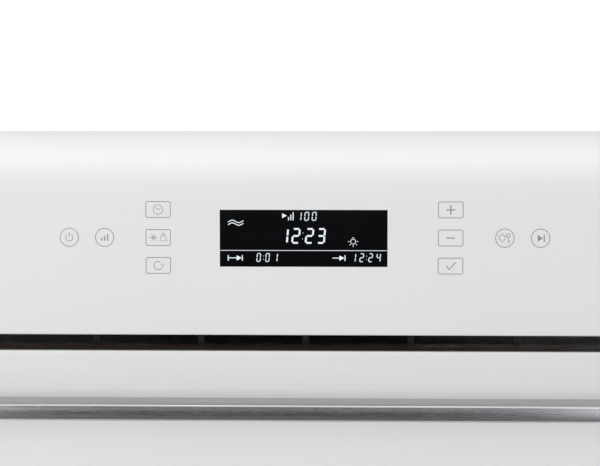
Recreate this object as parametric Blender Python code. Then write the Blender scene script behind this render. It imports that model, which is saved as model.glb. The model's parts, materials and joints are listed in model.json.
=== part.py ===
"""A compact built-in combination oven, 455 mm high, as separate sub-parts with their joints' axes.

Metres, +Z up, front towards -Y. Everything is modelled from the cabinet's front plane (y = 0 there), from the
base of the housing (z = 0) and from the middle of the front (x = 0). The empty "cabinet_plane" then places it
all so that the origin is at the middle of the bottom of the whole oven.
"""

import math

import bmesh
import bpy
from mathutils import Matrix, Vector

for old in list(bpy.data.objects):
    bpy.data.objects.remove(old, do_unlink=True)

# ---------------------------------------------------------------- driving dimensions
FRONT_WIDTH = 0.595
BODY_WIDTH = 0.555
BODY_HEIGHT = 0.445
BODY_DEPTH = 0.526
GLASS_FRONT = -0.022  # outer glass, ahead of the cabinet plane
GLASS = 0.004
PANEL_TOP = 0.455
PANEL_BOTTOM = 0.3393
DOOR_TOP = 0.3301
DOOR_BOTTOM = 0.008
DOOR_BACK = 0.012
HINGE_Y, HINGE_Z = -0.010, 0.015
PLATE_FRONT = 0.016  # recessed front plate of the housing
SHEET = 0.0012
THIN = 0.001
GAP = 0.0003  # between pieces that touch
CAVITY_HALF = 0.220
CAVITY_FLOOR, CAVITY_ROOF = 0.062, 0.290
CAVITY_BACK = 0.4275
CAVITY_CORNER = 0.012
COVER_BACK = 0.5170  # rear edge of the side panels, top cover and base tray
BAR_HEIGHT, BAR_DEPTH, BAR_TOP = 0.0088, 0.026, 0.3066
HANDLE_REACH = 0.0455  # bar's front face, ahead of the glass
BAR_HALF = 0.2945
LEVELS = [0.092 + 0.052 * i for i in range(4)]  # shelf heights

# ---------------------------------------------------------------- worked out from them
FLANGE_HALF = FRONT_WIDTH / 2
GLASS_HALF = FLANGE_HALF - 0.0005
BODY_HALF = BODY_WIDTH / 2
GLASS_BACK = GLASS_FRONT + GLASS
PLATE_BACK = PLATE_FRONT + SHEET
BEHIND_PLATE = PLATE_BACK + GAP
FRAME_FRONT = GLASS_BACK + GAP
HANDLE_FRONT = GLASS_FRONT - HANDLE_REACH
HANDLE_BACK = HANDLE_FRONT + BAR_DEPTH
BAR_MID = BAR_TOP - BAR_HEIGHT / 2
MID_CAVITY = (CAVITY_FLOOR + CAVITY_ROOF) / 2
CABINET_Y = -(HANDLE_FRONT + BODY_DEPTH) / 2

# ---------------------------------------------------------------- finishes: colour, roughness, metallic
FINISH_VALUES = {
    "white_glass": ((0.80, 0.81, 0.81), 0.08, 0.0),
    "clear_glass": ((0.55, 0.60, 0.58), 0.05, 0.0),
    "dark_glass": ((0.02, 0.02, 0.02), 0.08, 0.0),
    "brown_plastic": ((0.03, 0.02, 0.018), 0.25, 0.0),
    "brushed_aluminium": ((0.42, 0.42, 0.43), 0.35, 1.0),
    "door_frame": ((0.045, 0.045, 0.048), 0.42, 0.8),
    "galvanised": ((0.55, 0.56, 0.57), 0.45, 1.0),
    "stainless": ((0.50, 0.50, 0.50), 0.30, 1.0),
    "enamel": ((0.035, 0.037, 0.042), 0.15, 0.0),
    "chromed_wire": ((0.62, 0.62, 0.63), 0.15, 1.0),
    "element": ((0.10, 0.095, 0.09), 0.55, 0.6),
    "wool": ((0.72, 0.68, 0.58), 0.95, 0.0),
    "black_plastic": ((0.02, 0.02, 0.02), 0.45, 0.0),
    "grey_plastic": ((0.35, 0.36, 0.37), 0.50, 0.0),
    "rubber": ((0.05, 0.05, 0.055), 0.75, 0.0),
    "board": ((0.02, 0.12, 0.05), 0.50, 0.0),
    "ceramic": ((0.78, 0.76, 0.72), 0.40, 0.0),
    "black_steel": ((0.03, 0.03, 0.03), 0.40, 0.3),
}


def finish(name):
    colour, roughness, metallic = FINISH_VALUES[name]
    made = bpy.data.materials.get(name) or bpy.data.materials.new(name)
    made.use_nodes = True
    shader = made.node_tree.nodes["Principled BSDF"]
    shader.inputs["Base Color"].default_value = (*colour, 1)
    shader.inputs["Roughness"].default_value = roughness
    shader.inputs["Metallic"].default_value = metallic
    made.diffuse_color = (*colour, 1)
    return made


# ---------------------------------------------------------------- bodies: an empty on each joint's axis
FAN_Y, FAN_Z = 0.404, MID_CAVITY
WHEEL_Y, WHEEL_Z = 0.355, 0.384
STIR_Y = 0.250
LATCH_X, LATCH_Y, LATCH_Z = 0.245, 0.0, 0.302
SWITCH_X, SWITCH_Z = 0.248, 0.200
ROD_X = 0.2437
AXES = {
    "chassis": (0, 0, 0),
    "door": (0, HINGE_Y, HINGE_Z),
    "rack": (0, 0, LEVELS[2]),
    "tray": (0, 0, LEVELS[0]),
    "fan": (0, FAN_Y, FAN_Z),
    "blower": (0, WHEEL_Y, WHEEL_Z),
    "stirrer": (0, STIR_Y, CAVITY_ROOF),
    "plunger": (SWITCH_X, DOOR_BACK, SWITCH_Z),
    "rod_left": (-ROD_X, HINGE_Y, HINGE_Z),
    "rod_right": (ROD_X, HINGE_Y, HINGE_Z),
    "latch_left": (-LATCH_X, LATCH_Y, LATCH_Z),
    "latch_right": (LATCH_X, LATCH_Y, LATCH_Z),
}
CARRIED_BY_DOOR = ("rod_left", "rod_right", "latch_left", "latch_right")


def empty(name, place, parent=None):
    made = bpy.data.objects.new(name, None)
    bpy.context.collection.objects.link(made)
    made.parent = parent
    made.location = place
    return made


plane = empty("cabinet_plane", (0, CABINET_Y, 0))
carriers = {}
for body_name, axis_place in AXES.items():
    on_door = body_name in CARRIED_BY_DOOR
    base = Vector(AXES["door"]) if on_door else Vector()
    holder = carriers["door"] if on_door else plane
    carriers[body_name] = empty(body_name + "_axis", Vector(axis_place) - base, holder)


# ---------------------------------------------------------------- shapes, each a bmesh
def box(low, high):
    low, high = Vector(low), Vector(high)
    shape = bmesh.new()
    place = Matrix.Translation((low + high) / 2) @ Matrix.Diagonal((*(high - low), 1))
    bmesh.ops.create_cube(shape, size=1, matrix=place)
    return shape


def rod(start, end, radius, sides=12):
    """Round bar between two points."""
    start, end = Vector(start), Vector(end)
    shape = bmesh.new()
    turn = (end - start).to_track_quat("Z", "Y").to_matrix().to_4x4()
    bmesh.ops.create_cone(
        shape,
        cap_ends=True,
        segments=sides,
        radius1=radius,
        radius2=radius,
        depth=(end - start).length,
        matrix=Matrix.Translation((start + end) / 2) @ turn,
    )
    return shape


def prism(outline, axis, low, high):
    """Flat outline drawn out along an axis; the outline holds the other two coordinates in X, Y, Z order."""
    shape = bmesh.new()
    at = "XYZ".index(axis)
    corners = [shape.verts.new((*point[:at], low, *point[at:])) for point in outline]
    face = shape.faces.new(corners)
    drawn = bmesh.ops.extrude_face_region(shape, geom=[face])
    moved = [v for v in drawn["geom"] if isinstance(v, bmesh.types.BMVert)]
    along = Vector((0, 0, 0))
    along[at] = high - low
    bmesh.ops.translate(shape, vec=along, verts=moved)
    bmesh.ops.recalc_face_normals(shape, faces=shape.faces)
    return shape


def arc(centre, radius, start, end, steps):
    """Points of an arc in a plane, angles in degrees."""
    turn = [math.radians(start + (end - start) * i / steps) for i in range(steps + 1)]
    return [(centre[0] + radius * math.cos(a), centre[1] + radius * math.sin(a)) for a in turn]


def rounded(half_wide, low, high, radius, steps=4):
    """Rectangle about x = 0 between two heights, with round corners."""
    x, mid_low, mid_high = half_wide - radius, low + radius, high - radius
    corners = [(x, mid_low, -90), (x, mid_high, 0), (-x, mid_high, 90), (-x, mid_low, 180)]
    return [p for cx, cz, turn in corners for p in arc((cx, cz), radius, turn, turn + 90, steps)]


def both(shape_of, *values):
    """A shape at +X and its twin at -X; shape_of takes the side, 1 or -1."""
    return [shape_of(side, *values) for side in (1, -1)]


def span(side, near, far):
    """Two x values on one side of the middle, lower one first."""
    return (near, far) if side > 0 else (-far, -near)


def pocket(side, near, far, front, back, low, high):
    """A block on one side of the middle."""
    x_low, x_high = span(side, near, far)
    return box((x_low, front, low), (x_high, back, high))


def mesh_of(name, shapes, origin):
    """One mesh holding all the shapes, measured from the origin."""
    whole = bmesh.new()
    for shape in shapes:
        piece = bpy.data.meshes.new("piece")
        shape.to_mesh(piece)
        shape.free()
        whole.from_mesh(piece)
        bpy.data.meshes.remove(piece)
    bmesh.ops.translate(whole, vec=-Vector(origin), verts=whole.verts)
    mesh = bpy.data.meshes.new(name)
    whole.to_mesh(mesh)
    whole.free()
    mesh.shade_smooth()
    mesh.set_sharp_from_angle(angle=math.radians(35))
    return mesh


def place(name, data, body):
    made = bpy.data.objects.new(name, data)
    bpy.context.collection.objects.link(made)
    made.parent = carriers[body]
    return made


def boolean(target, operation, shapes, body):
    tool = place(f"{target.name}.{operation.lower()}", mesh_of("tool", shapes, AXES[body]), body)
    tool.hide_render = True
    tool.display_type = "WIRE"
    step = target.modifiers.new(operation.title(), "BOOLEAN")
    step.operation = operation
    step.solver = "EXACT"
    step.use_self = True
    step.object = tool


def part(name, look, shapes, cuts=(), body="chassis"):
    """A named sub-part: its shapes joined into one solid, less its cuts."""
    made = place(name, mesh_of(name, shapes[:1], AXES[body]), body)
    made.data.materials.append(finish(look))
    if len(shapes) > 1:
        boolean(made, "UNION", shapes[1:], body)
    if cuts:
        boolean(made, "DIFFERENCE", cuts, body)
    return made


def wire(name, look, points, radius, detail=2, body="chassis"):
    """A bent round bar along a line of points, closed at both ends."""
    curve = bpy.data.curves.new(name, "CURVE")
    curve.dimensions = "3D"
    curve.bevel_depth = radius
    curve.bevel_resolution = detail
    curve.use_fill_caps = True
    line = curve.splines.new("POLY")
    line.points.add(len(points) - 1)
    for spot, point in zip(line.points, points):
        spot.co = (*(Vector(point) - Vector(AXES[body])), 1)
    made = place(name, curve, body)
    curve.materials.append(finish(look))
    return made


def bent(corners, radius, steps=4):
    """A polyline with its inner corners rounded."""
    points = [Vector(corners[0])]
    for before, corner, after in zip(corners, corners[1:], corners[2:]):
        before, corner, after = Vector(before), Vector(corner), Vector(after)
        start = corner + (before - corner).normalized() * radius
        end = corner + (after - corner).normalized() * radius
        for i in range(steps + 1):
            t = i / steps
            points.append(start * (1 - t) ** 2 + corner * 2 * t * (1 - t) + end * t**2)
    return points + [Vector(corners[-1])]


# ---------------------------------------------------------------- housing
FLANGE = 0.0012
RETURN_HALF = 0.265  # inner face of the recess's side walls
SEAT_HALF = 0.2785  # from here outwards the flange lies on the cabinet
SLOT_PITCH, SLOT_WEB, SLOT_COUNT = 0.062, 0.004, 8
SLOT_LOW, SLOT_HIGH = 0.3275, 0.3455
SCREW_X, SCREW_Z = 0.285, 0.260
CUT_PAST = 0.003  # how far a cutter runs past the sheet it cuts


def slot_cut(index):
    middle = (index - (SLOT_COUNT - 1) / 2) * SLOT_PITCH
    half = (SLOT_PITCH - SLOT_WEB) / 2
    low = (middle - half, PLATE_FRONT - CUT_PAST, SLOT_LOW)
    return box(low, (middle + half, PLATE_BACK + CUT_PAST, SLOT_HIGH))


def plate_cut(side, near, far, low, high):
    return pocket(side, near, far, PLATE_FRONT - CUT_PAST, PLATE_BACK + CUT_PAST, low, high)


def front_frame():
    wall = RETURN_HALF + SHEET
    outline = [
        (-FLANGE_HALF, -FLANGE),
        (-RETURN_HALF, -FLANGE),
        (-RETURN_HALF, PLATE_FRONT),
        (RETURN_HALF, PLATE_FRONT),
        (RETURN_HALF, -FLANGE),
        (FLANGE_HALF, -FLANGE),
        (FLANGE_HALF, 0),
        (SEAT_HALF, 0),
        (SEAT_HALF, -GAP),
        (wall, -GAP),
        (wall, PLATE_BACK),
        (-wall, PLATE_BACK),
        (-wall, -GAP),
        (-SEAT_HALF, -GAP),
        (-SEAT_HALF, 0),
        (-FLANGE_HALF, 0),
    ]
    before, behind = PLATE_FRONT - CUT_PAST, PLATE_BACK + CUT_PAST
    mouth = prism(rounded(CAVITY_HALF, CAVITY_FLOOR, CAVITY_ROOF, CAVITY_CORNER), "Y", before, behind)
    harness = box((-0.060, before, 0.370), (0.060, behind, 0.430))
    cuts = [mouth, harness] + [slot_cut(i) for i in range(SLOT_COUNT)]
    cuts += both(plate_cut, 0.230, 0.250, 0.005, 0.026)  # hinge arms
    cuts += both(plate_cut, 0.238, 0.252, 0.290, 0.318)  # latch hooks
    cuts += both(lambda s: rod((s * SCREW_X, -0.005, SCREW_Z), (s * SCREW_X, 0.005, SCREW_Z), 0.0022))
    cuts.append(rod((SWITCH_X, 0.010, SWITCH_Z), (SWITCH_X, 0.022, SWITCH_Z), 0.0035))
    part("front_frame", "black_steel", [prism(outline, "Z", 0.002, 0.453)], cuts)


def side_panel(side):
    x_low, x_high = span(side, BODY_HALF - THIN, BODY_HALF)
    louvres = []
    for i in range(9):
        y = 0.120 + 0.040 * i
        louvres.append(box((x_low - 0.002, y, 0.372), (x_high + 0.002, y + 0.006, 0.424)))
    panel = box((x_low, GAP, 0.0135), (x_high, COVER_BACK, BODY_HEIGHT - THIN - GAP))
    part("side_panel_right" if side > 0 else "side_panel_left", "galvanised", [panel], louvres)


def covers():
    half = BODY_HALF
    top = box((-half, BEHIND_PLATE, BODY_HEIGHT - THIN), (half, COVER_BACK, BODY_HEIGHT))
    intakes = [box((-0.150 + 0.028 * i, 0.430, 0.440), (-0.132 + 0.028 * i, 0.490, 0.450)) for i in range(11)]
    part("top_cover", "galvanised", [top], intakes)
    pan = box((-half, BEHIND_PLATE, 0), (half, COVER_BACK, 0.013))
    inside = box((-half + THIN, BEHIND_PLATE + THIN, THIN), (half - THIN, COVER_BACK - THIN, 0.020))
    drains = [box((x, 0.060, -0.002), (x + 0.060, 0.072, 0.003)) for x in (-0.180, -0.030, 0.120)]
    notches = both(pocket, 0.230, 0.250, 0.010, 0.025, 0.005, 0.020)  # hinge arms
    part("base_tray", "galvanised", [pan], [inside, *drains, *notches])
    back = box((-half, COVER_BACK + GAP, 0), (half, COVER_BACK + GAP + THIN, BODY_HEIGHT))
    hump = box((-0.085, COVER_BACK + GAP + THIN / 2, 0.085), (0.085, BODY_DEPTH, 0.267))
    hollow = box((-0.084, 0.5100, 0.086), (0.084, BODY_DEPTH - THIN, 0.266))
    vents = [box((-0.072 + 0.024 * i, 0.510, 0.110), (-0.060 + 0.024 * i, 0.530, 0.242)) for i in range(7)]
    vents += [box((0.090 + 0.020 * i, 0.510, 0.330), (0.100 + 0.020 * i, 0.530, 0.420)) for i in range(8)]
    cable = rod((-0.180, 0.510, 0.395), (-0.180, 0.530, 0.395), 0.007)
    part("rear_cover", "galvanised", [back, hump], [hollow, *vents, cable])


def control_deck():
    deck = box((-0.270, 0.020, 0.3490), (0.270, 0.5150, 0.3500))
    blower = box((-0.160, 0.297, 0.340), (0.110, 0.425, 0.360))
    tube = box((0.126, 0.206, 0.340), (0.214, 0.294, 0.360))
    part("control_deck", "galvanised", [deck], [blower, tube])


DUCT_LOW, DUCT_HIGH, DUCT_END = 0.3268, 0.3463, 0.2990


def duct_outline(grow):
    """Plan of the cooling duct: wide behind the slots, narrow at the blower."""
    wide, narrow = 0.252 + grow, 0.109 + grow
    right = [(wide, 0.110), (narrow, 0.180)]
    left = [(-x, y) for x, y in reversed(right)]
    ends = 2 * grow  # the inner shape runs out of both ends
    front, back = BEHIND_PLATE - abs(ends), DUCT_END + abs(ends)
    return [(-wide, front), (wide, front), *right, (narrow, back), (-narrow, back), *left]


def air_duct():
    shell = prism(duct_outline(0), "Z", DUCT_LOW, DUCT_HIGH)
    inside = prism(duct_outline(-THIN), "Z", DUCT_LOW + THIN, DUCT_HIGH - THIN)
    part("air_duct", "galvanised", [shell], [inside])


# ---------------------------------------------------------------- cavity
ELEMENT = 0.0033
LEG_X = 0.105
RING_RADIUS = 0.083
RING_LEG_X = 0.014
RING_LEG_Z = FAN_Z - math.sqrt(RING_RADIUS**2 - RING_LEG_X**2)
LAMP_X, LAMP_Y = -0.150, 0.330
PROBE_X, PROBE_Z = -0.185, 0.268
WOOL_HALF, WOOL_LOW, WOOL_HIGH, WOOL_BACK = 0.236, 0.047, 0.3065, 0.444
GUIDE_TOP = 0.3130


def through_back(x, z, radius):
    return rod((x, 0.420, z), (x, 0.460, z), radius)


def back_holes(clearance):
    """Holes in the rear wall for the fan shaft, the heating elements' legs and the probe."""
    holes = [through_back(0, FAN_Z, 0.006 + clearance)]
    holes += [through_back(x, RING_LEG_Z, ELEMENT + 0.001 + clearance / 2) for x in (-RING_LEG_X, RING_LEG_X)]
    holes += [through_back(x, 0.281, ELEMENT + 0.001 + clearance / 2) for x in (-LEG_X, LEG_X)]
    return holes + [through_back(PROBE_X, PROBE_Z, 0.003 + clearance)]


def through_roof(x, y, radius):
    return rod((x, y, 0.280), (x, y, 0.315), radius, 16)


def cavity():
    wall = THIN
    shell = prism(
        rounded(CAVITY_HALF + wall, CAVITY_FLOOR - wall, CAVITY_ROOF + wall, CAVITY_CORNER + wall),
        "Y",
        BEHIND_PLATE,
        CAVITY_BACK + wall,
    )
    inside = prism(rounded(CAVITY_HALF, CAVITY_FLOOR, CAVITY_ROOF, CAVITY_CORNER), "Y", 0.010, CAVITY_BACK)
    holes = back_holes(0) + [through_roof(0, STIR_Y, 0.025), through_roof(LAMP_X, LAMP_Y, 0.022)]
    part("cavity_liner", "enamel", [shell], [inside, *holes])
    blanket = box((-WOOL_HALF, BEHIND_PLATE + GAP, WOOL_LOW), (WOOL_HALF, WOOL_BACK, WOOL_HIGH))
    hollow = box((-0.2215, 0.010, 0.0605), (0.2215, 0.4290, 0.2914))
    guide = box((-0.046, 0.204, 0.285), (0.216, 0.296, 0.315))
    lamp = rod((LAMP_X, LAMP_Y, 0.285), (LAMP_X, LAMP_Y, 0.315), 0.0300, 16)
    part("insulation_blanket", "wool", [blanket], [hollow, guide, lamp] + back_holes(0.004))


def side_rack(side):
    """Hook-in wire ladder: two posts, and an upper and a lower rail at each level."""
    rail_x, post_x, wire_radius = side * 0.2080, side * 0.2120, 0.0022
    front, back = 0.030, 0.376
    shapes = []
    for y in (0.062, 0.340):
        shapes.append(rod((post_x, y, 0.078), (post_x, y, 0.268), wire_radius, 8))
        for z in (0.085, 0.262):
            shapes.append(rod((post_x, y, z), (side * 0.2195, y, z), wire_radius, 8))
    for z in LEVELS:
        for rail_z in (z - 0.0050, z + 0.0075):
            shapes.append(rod((rail_x, front, rail_z), (rail_x, back, rail_z), wire_radius, 8))
    part("side_rack_right" if side > 0 else "side_rack_left", "chromed_wire", shapes)


def wire_rack():
    """Round side bars that ride on the rails, square cross bars and a grid of wires on top of them."""
    z, half, front, back, thick = LEVELS[2], 0.207, 0.027, 0.372, 0.0018
    shapes = [rod((x, front - 0.003, z), (x, back + 0.003, z), 0.0025, 8) for x in (-half, half)]
    for y in (front, 0.130, 0.270, back):
        shapes.append(box((-half, y - thick, z - thick), (half, y + thick, z + thick)))
    for i in range(13):
        x = -0.180 + 0.030 * i
        shapes.append(box((x - 0.001, front, z + 0.0008), (x + 0.001, back, z + 0.0030)))
    part("wire_rack", "chromed_wire", shapes, body="rack")


def bake_tray():
    z, front, back = LEVELS[0], 0.027, 0.372
    rim = box((-0.2085, front, z - 0.0024), (0.2085, back, z - 0.0010))
    pan = box((-0.1965, front + 0.012, 0.0695), (0.1965, back - 0.012, z - 0.0015))
    food = box((-0.1953, front + 0.0132, 0.0707), (0.1953, back - 0.0132, z + 0.002))
    part("bake_tray", "enamel", [rim, pan], [food], body="tray")


def fan_group():
    baffle = box((-0.150, 0.385, 0.085), (0.150, 0.4265, 0.267))
    behind = box((-0.149, 0.386, 0.086), (0.149, 0.4300, 0.266))
    cuts = [behind]
    for i in range(12):
        a = math.radians(30 * i)
        x, z = 0.038 * math.cos(a), FAN_Z + 0.038 * math.sin(a)
        cuts.append(rod((x, 0.380, z), (x, 0.390, z), 0.0075, 8))
    for side in (1, -1):
        x_low, x_high = span(side, 0.145, 0.155)
        cuts += [box((x_low, 0.394, z), (x_high, 0.420, z + 0.022)) for z in (0.100, 0.133, 0.198, 0.231)]
    part("fan_baffle", "enamel", [baffle], cuts)

    blades = []
    for i in range(10):
        a = math.radians(36 * i)
        out, across = Vector((math.cos(a), 0, math.sin(a))), Vector((-math.sin(a), 0, math.cos(a)))
        middle = Vector((0, FAN_Y, FAN_Z)) + out * 0.054
        blade = bmesh.new()
        turn = Matrix(((out.x, 0, across.x, 0), (0, 1, 0, 0), (out.z, 0, across.z, 0), (0, 0, 0, 1)))
        size = Matrix.Diagonal((0.036, 0.021, 0.0012, 1))
        bmesh.ops.create_cube(blade, size=1, matrix=Matrix.Translation(middle) @ turn @ size)
        bmesh.ops.recalc_face_normals(blade, faces=blade.faces)
        blades.append(blade)
    disc = rod((0, 0.4140, FAN_Z), (0, 0.4152, FAN_Z), 0.073, 24)
    hub = rod((0, 0.398, FAN_Z), (0, 0.4172, FAN_Z), 0.013, 16)
    shaft = rod((0, 0.410, FAN_Z), (0, 0.4545, FAN_Z), 0.004)
    part("convection_fan", "stainless", [disc, hub, shaft, *blades], body="fan")

    can = rod((0, 0.4460, FAN_Z), (0, 0.5020, FAN_Z), 0.040, 20)
    foot = box((-0.055, 0.4460, FAN_Z - 0.020), (0.055, 0.4475, FAN_Z + 0.020))
    bore = rod((0, 0.4440, FAN_Z), (0, 0.4560, FAN_Z), 0.0046)
    part("fan_motor", "black_steel", [can, foot], [bore])

    gap = math.degrees(math.asin(RING_LEG_X / RING_RADIUS))
    loop = arc((0, FAN_Z), RING_RADIUS, -90 + gap, 270 - gap, 28)
    points = [(x, FAN_Y, z) for x, z in loop]
    leg_in = bent([(RING_LEG_X, 0.470, RING_LEG_Z), (RING_LEG_X, FAN_Y, RING_LEG_Z), points[1]], 0.008)
    leg_out = bent([points[-2], (-RING_LEG_X, FAN_Y, RING_LEG_Z), (-RING_LEG_X, 0.470, RING_LEG_Z)], 0.008)
    wire("ring_element", "element", leg_in[:-1] + points[1:-1] + leg_out[1:], ELEMENT)


def grill_element():
    z, inner, outer = 0.281, LEG_X, 0.180
    corners = [(-inner, 0.470, z), (-inner, 0.120, z), (-outer, 0.120, z), (-outer, 0.055, z)]
    corners += [(-x, y, z) for x, y, z in reversed(corners)]
    wire("grill_element", "element", bent(corners, 0.016), ELEMENT)


def lamp_and_probe():
    centre = (LAMP_X, LAMP_Y)
    can = rod((*centre, 0.2915), (*centre, 0.3250), 0.028, 20)
    inside = rod((*centre, 0.2800), (*centre, 0.3235), 0.0215, 16)
    part("lamp_housing", "ceramic", [can], [inside])
    glass = rod((*centre, 0.2990), (*centre, 0.3150), 0.0055, 12)
    base = rod((*centre, 0.3145), (*centre, 0.3230), 0.0080, 12)
    part("lamp_bulb", "clear_glass", [glass, base])
    part("lamp_lens", "clear_glass", [rod((*centre, 0.2860), (*centre, 0.2896), 0.027, 24)])
    stem = rod((PROBE_X, 0.370, PROBE_Z), (PROBE_X, 0.462, PROBE_Z), 0.002, 8)
    nut = rod((PROBE_X, 0.4225, PROBE_Z), (PROBE_X, 0.4270, PROBE_Z), 0.006, 6)
    part("temperature_probe", "stainless", [stem, nut])


# ---------------------------------------------------------------- microwave supply
TUBE_X = 0.170


def microwave():
    channel = box((-0.045, 0.205, 0.2915), (0.215, 0.295, GUIDE_TOP))
    inside = box((-0.044, 0.206, 0.2925), (0.214, 0.294, GUIDE_TOP - THIN))
    coupling = rod((0, STIR_Y, 0.285), (0, STIR_Y, 0.300), 0.025, 16)
    shaft_hole = rod((0, STIR_Y, 0.300), (0, STIR_Y, 0.320), 0.004)
    antenna_hole = rod((TUBE_X, STIR_Y, 0.300), (TUBE_X, STIR_Y, 0.320), 0.012, 16)
    part("waveguide", "galvanised", [channel], [inside, coupling, shaft_hole, antenna_hole])

    foot = GUIDE_TOP + GAP
    low, high = TUBE_X - 0.040, TUBE_X + 0.040
    base = box((low, 0.210, foot), (high, 0.290, foot + 0.010))
    core = rod((TUBE_X, STIR_Y, foot + 0.005), (TUBE_X, STIR_Y, 0.390), 0.020, 16)
    fins = [box((low, 0.214, z), (high, 0.286, z + 0.002)) for z in [0.332 + 0.008 * i for i in range(6)]]
    filter_box = box((low + 0.004, 0.214, 0.380), (high - 0.004, 0.286, 0.408))
    antenna = rod((TUBE_X, STIR_Y, 0.296), (TUBE_X, STIR_Y, foot + 0.004), 0.008, 12)
    part("magnetron", "stainless", [base, core, *fins, filter_box, antenna])

    motor = rod((0, STIR_Y, foot), (0, STIR_Y, 0.3262), 0.024, 20)
    bore = rod((0, STIR_Y, foot - 0.003), (0, STIR_Y, 0.3215), 0.0030)
    part("stirrer_motor", "black_plastic", [motor], [bore])

    shaft = rod((0, STIR_Y, 0.2745), (0, STIR_Y, 0.3205), 0.0025, 10)
    hub = rod((0, STIR_Y, 0.2735), (0, STIR_Y, 0.2800), 0.008, 12)
    arms = []
    for i in range(3):
        a = math.radians(120 * i)
        tip = Vector((math.cos(a), math.sin(a), 0))
        across = Vector((-tip.y, tip.x, 0))
        start = Vector((0, STIR_Y, 0)) + tip * 0.004
        end = Vector((0, STIR_Y, 0)) + tip * 0.062
        corners = [start - across * 0.005, end - across * 0.014, end + across * 0.014, start + across * 0.005]
        arms.append(prism([(c.x, c.y) for c in corners], "Z", 0.2760, 0.2772))
    part("wave_stirrer", "stainless", [shaft, hub, *arms], body="stirrer")

    dish = rod((0, STIR_Y, 0.2660), (0, STIR_Y, 0.2896), 0.075, 28)
    hollow = rod((0, STIR_Y, 0.2680), (0, STIR_Y, 0.2950), 0.073, 28)
    part("stirrer_cover", "ceramic", [dish], [hollow])


# ---------------------------------------------------------------- cooling
WHEEL_HALF = 0.085


def cooling():
    scroll = 0.037
    middle = (WHEEL_Y, WHEEL_Z)
    front = DUCT_END + GAP
    outer = [
        (front, DUCT_LOW),
        (WHEEL_Y, DUCT_LOW),
        *arc(middle, scroll + 0.002, -90, 165, 17),
        (WHEEL_Y - scroll - 0.002, DUCT_HIGH + 0.004),
        (front, DUCT_HIGH),
    ]
    inner = [
        (front - 0.003, DUCT_LOW + THIN),
        (WHEEL_Y, DUCT_LOW + THIN),
        *arc(middle, scroll, -80, 175, 16),
        (WHEEL_Y - scroll, DUCT_HIGH - THIN),
        (front - 0.003, DUCT_HIGH - THIN),
    ]
    shell = prism(outer, "X", -0.100, 0.100)
    inside = prism(inner, "X", -0.098, 0.098)
    intake = box((-0.090, WHEEL_Y - 0.022, 0.405), (0.090, WHEEL_Y + 0.022, 0.430))
    axle_hole = rod((-0.110, *middle), (-0.090, *middle), 0.0045)
    part("blower_housing", "galvanised", [shell], [inside, intake, axle_hole])

    discs = [rod((x, *middle), (x + 0.0012, *middle), 0.030, 20) for x in (-WHEEL_HALF, WHEEL_HALF)]
    vanes = []
    for y, z in arc(middle, 0.0262, 0, 350, 15)[:15]:
        vanes.append(box((-WHEEL_HALF, y - 0.0006, z - 0.0026), (WHEEL_HALF + 0.001, y + 0.0006, z + 0.0026)))
    axle = rod((-0.112, *middle), (WHEEL_HALF, *middle), 0.003, 10)
    part("blower_wheel", "stainless", [axle, *discs, *vanes], body="blower")

    coil = box((-0.150, WHEEL_Y - 0.026, WHEEL_Z - 0.026), (-0.1065, WHEEL_Y + 0.026, WHEEL_Z + 0.026))
    core = box((-0.138, WHEEL_Y - 0.031, WHEEL_Z - 0.031), (-0.118, WHEEL_Y + 0.031, WHEEL_Z + 0.031))
    bearing = rod((-0.120, *middle), (-0.1035, *middle), 0.010)
    bore = rod((-0.113, *middle), (-0.100, *middle), 0.0036)
    part("blower_motor", "black_steel", [core, coil, bearing], [bore])


# ---------------------------------------------------------------- electronics and control panel
BOARD = 0.0016
KEY_ROWS = [0.3788, 0.3946, 0.4104]
KEY_COLUMNS = [0.0826, 0.113, 0.133]


def loaded_board(name, low, high, parts_on_it):
    """A board on four feet, with its tall components as blocks: x, y, half size and height."""
    z = 0.3545
    shapes = [box((*low, z), (*high, z + BOARD))]
    for x in (low[0] + 0.006, high[0] - 0.006):
        for y in (low[1] + 0.006, high[1] - 0.006):
            shapes.append(rod((x, y, 0.3503), (x, y, z + 0.001), 0.003, 8))
    for x, y, half_x, half_y, tall in parts_on_it:
        shapes.append(box((x - half_x, y - half_y, z + 0.0008), (x + half_x, y + half_y, z + tall)))
    part(name, "board", shapes)


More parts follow.
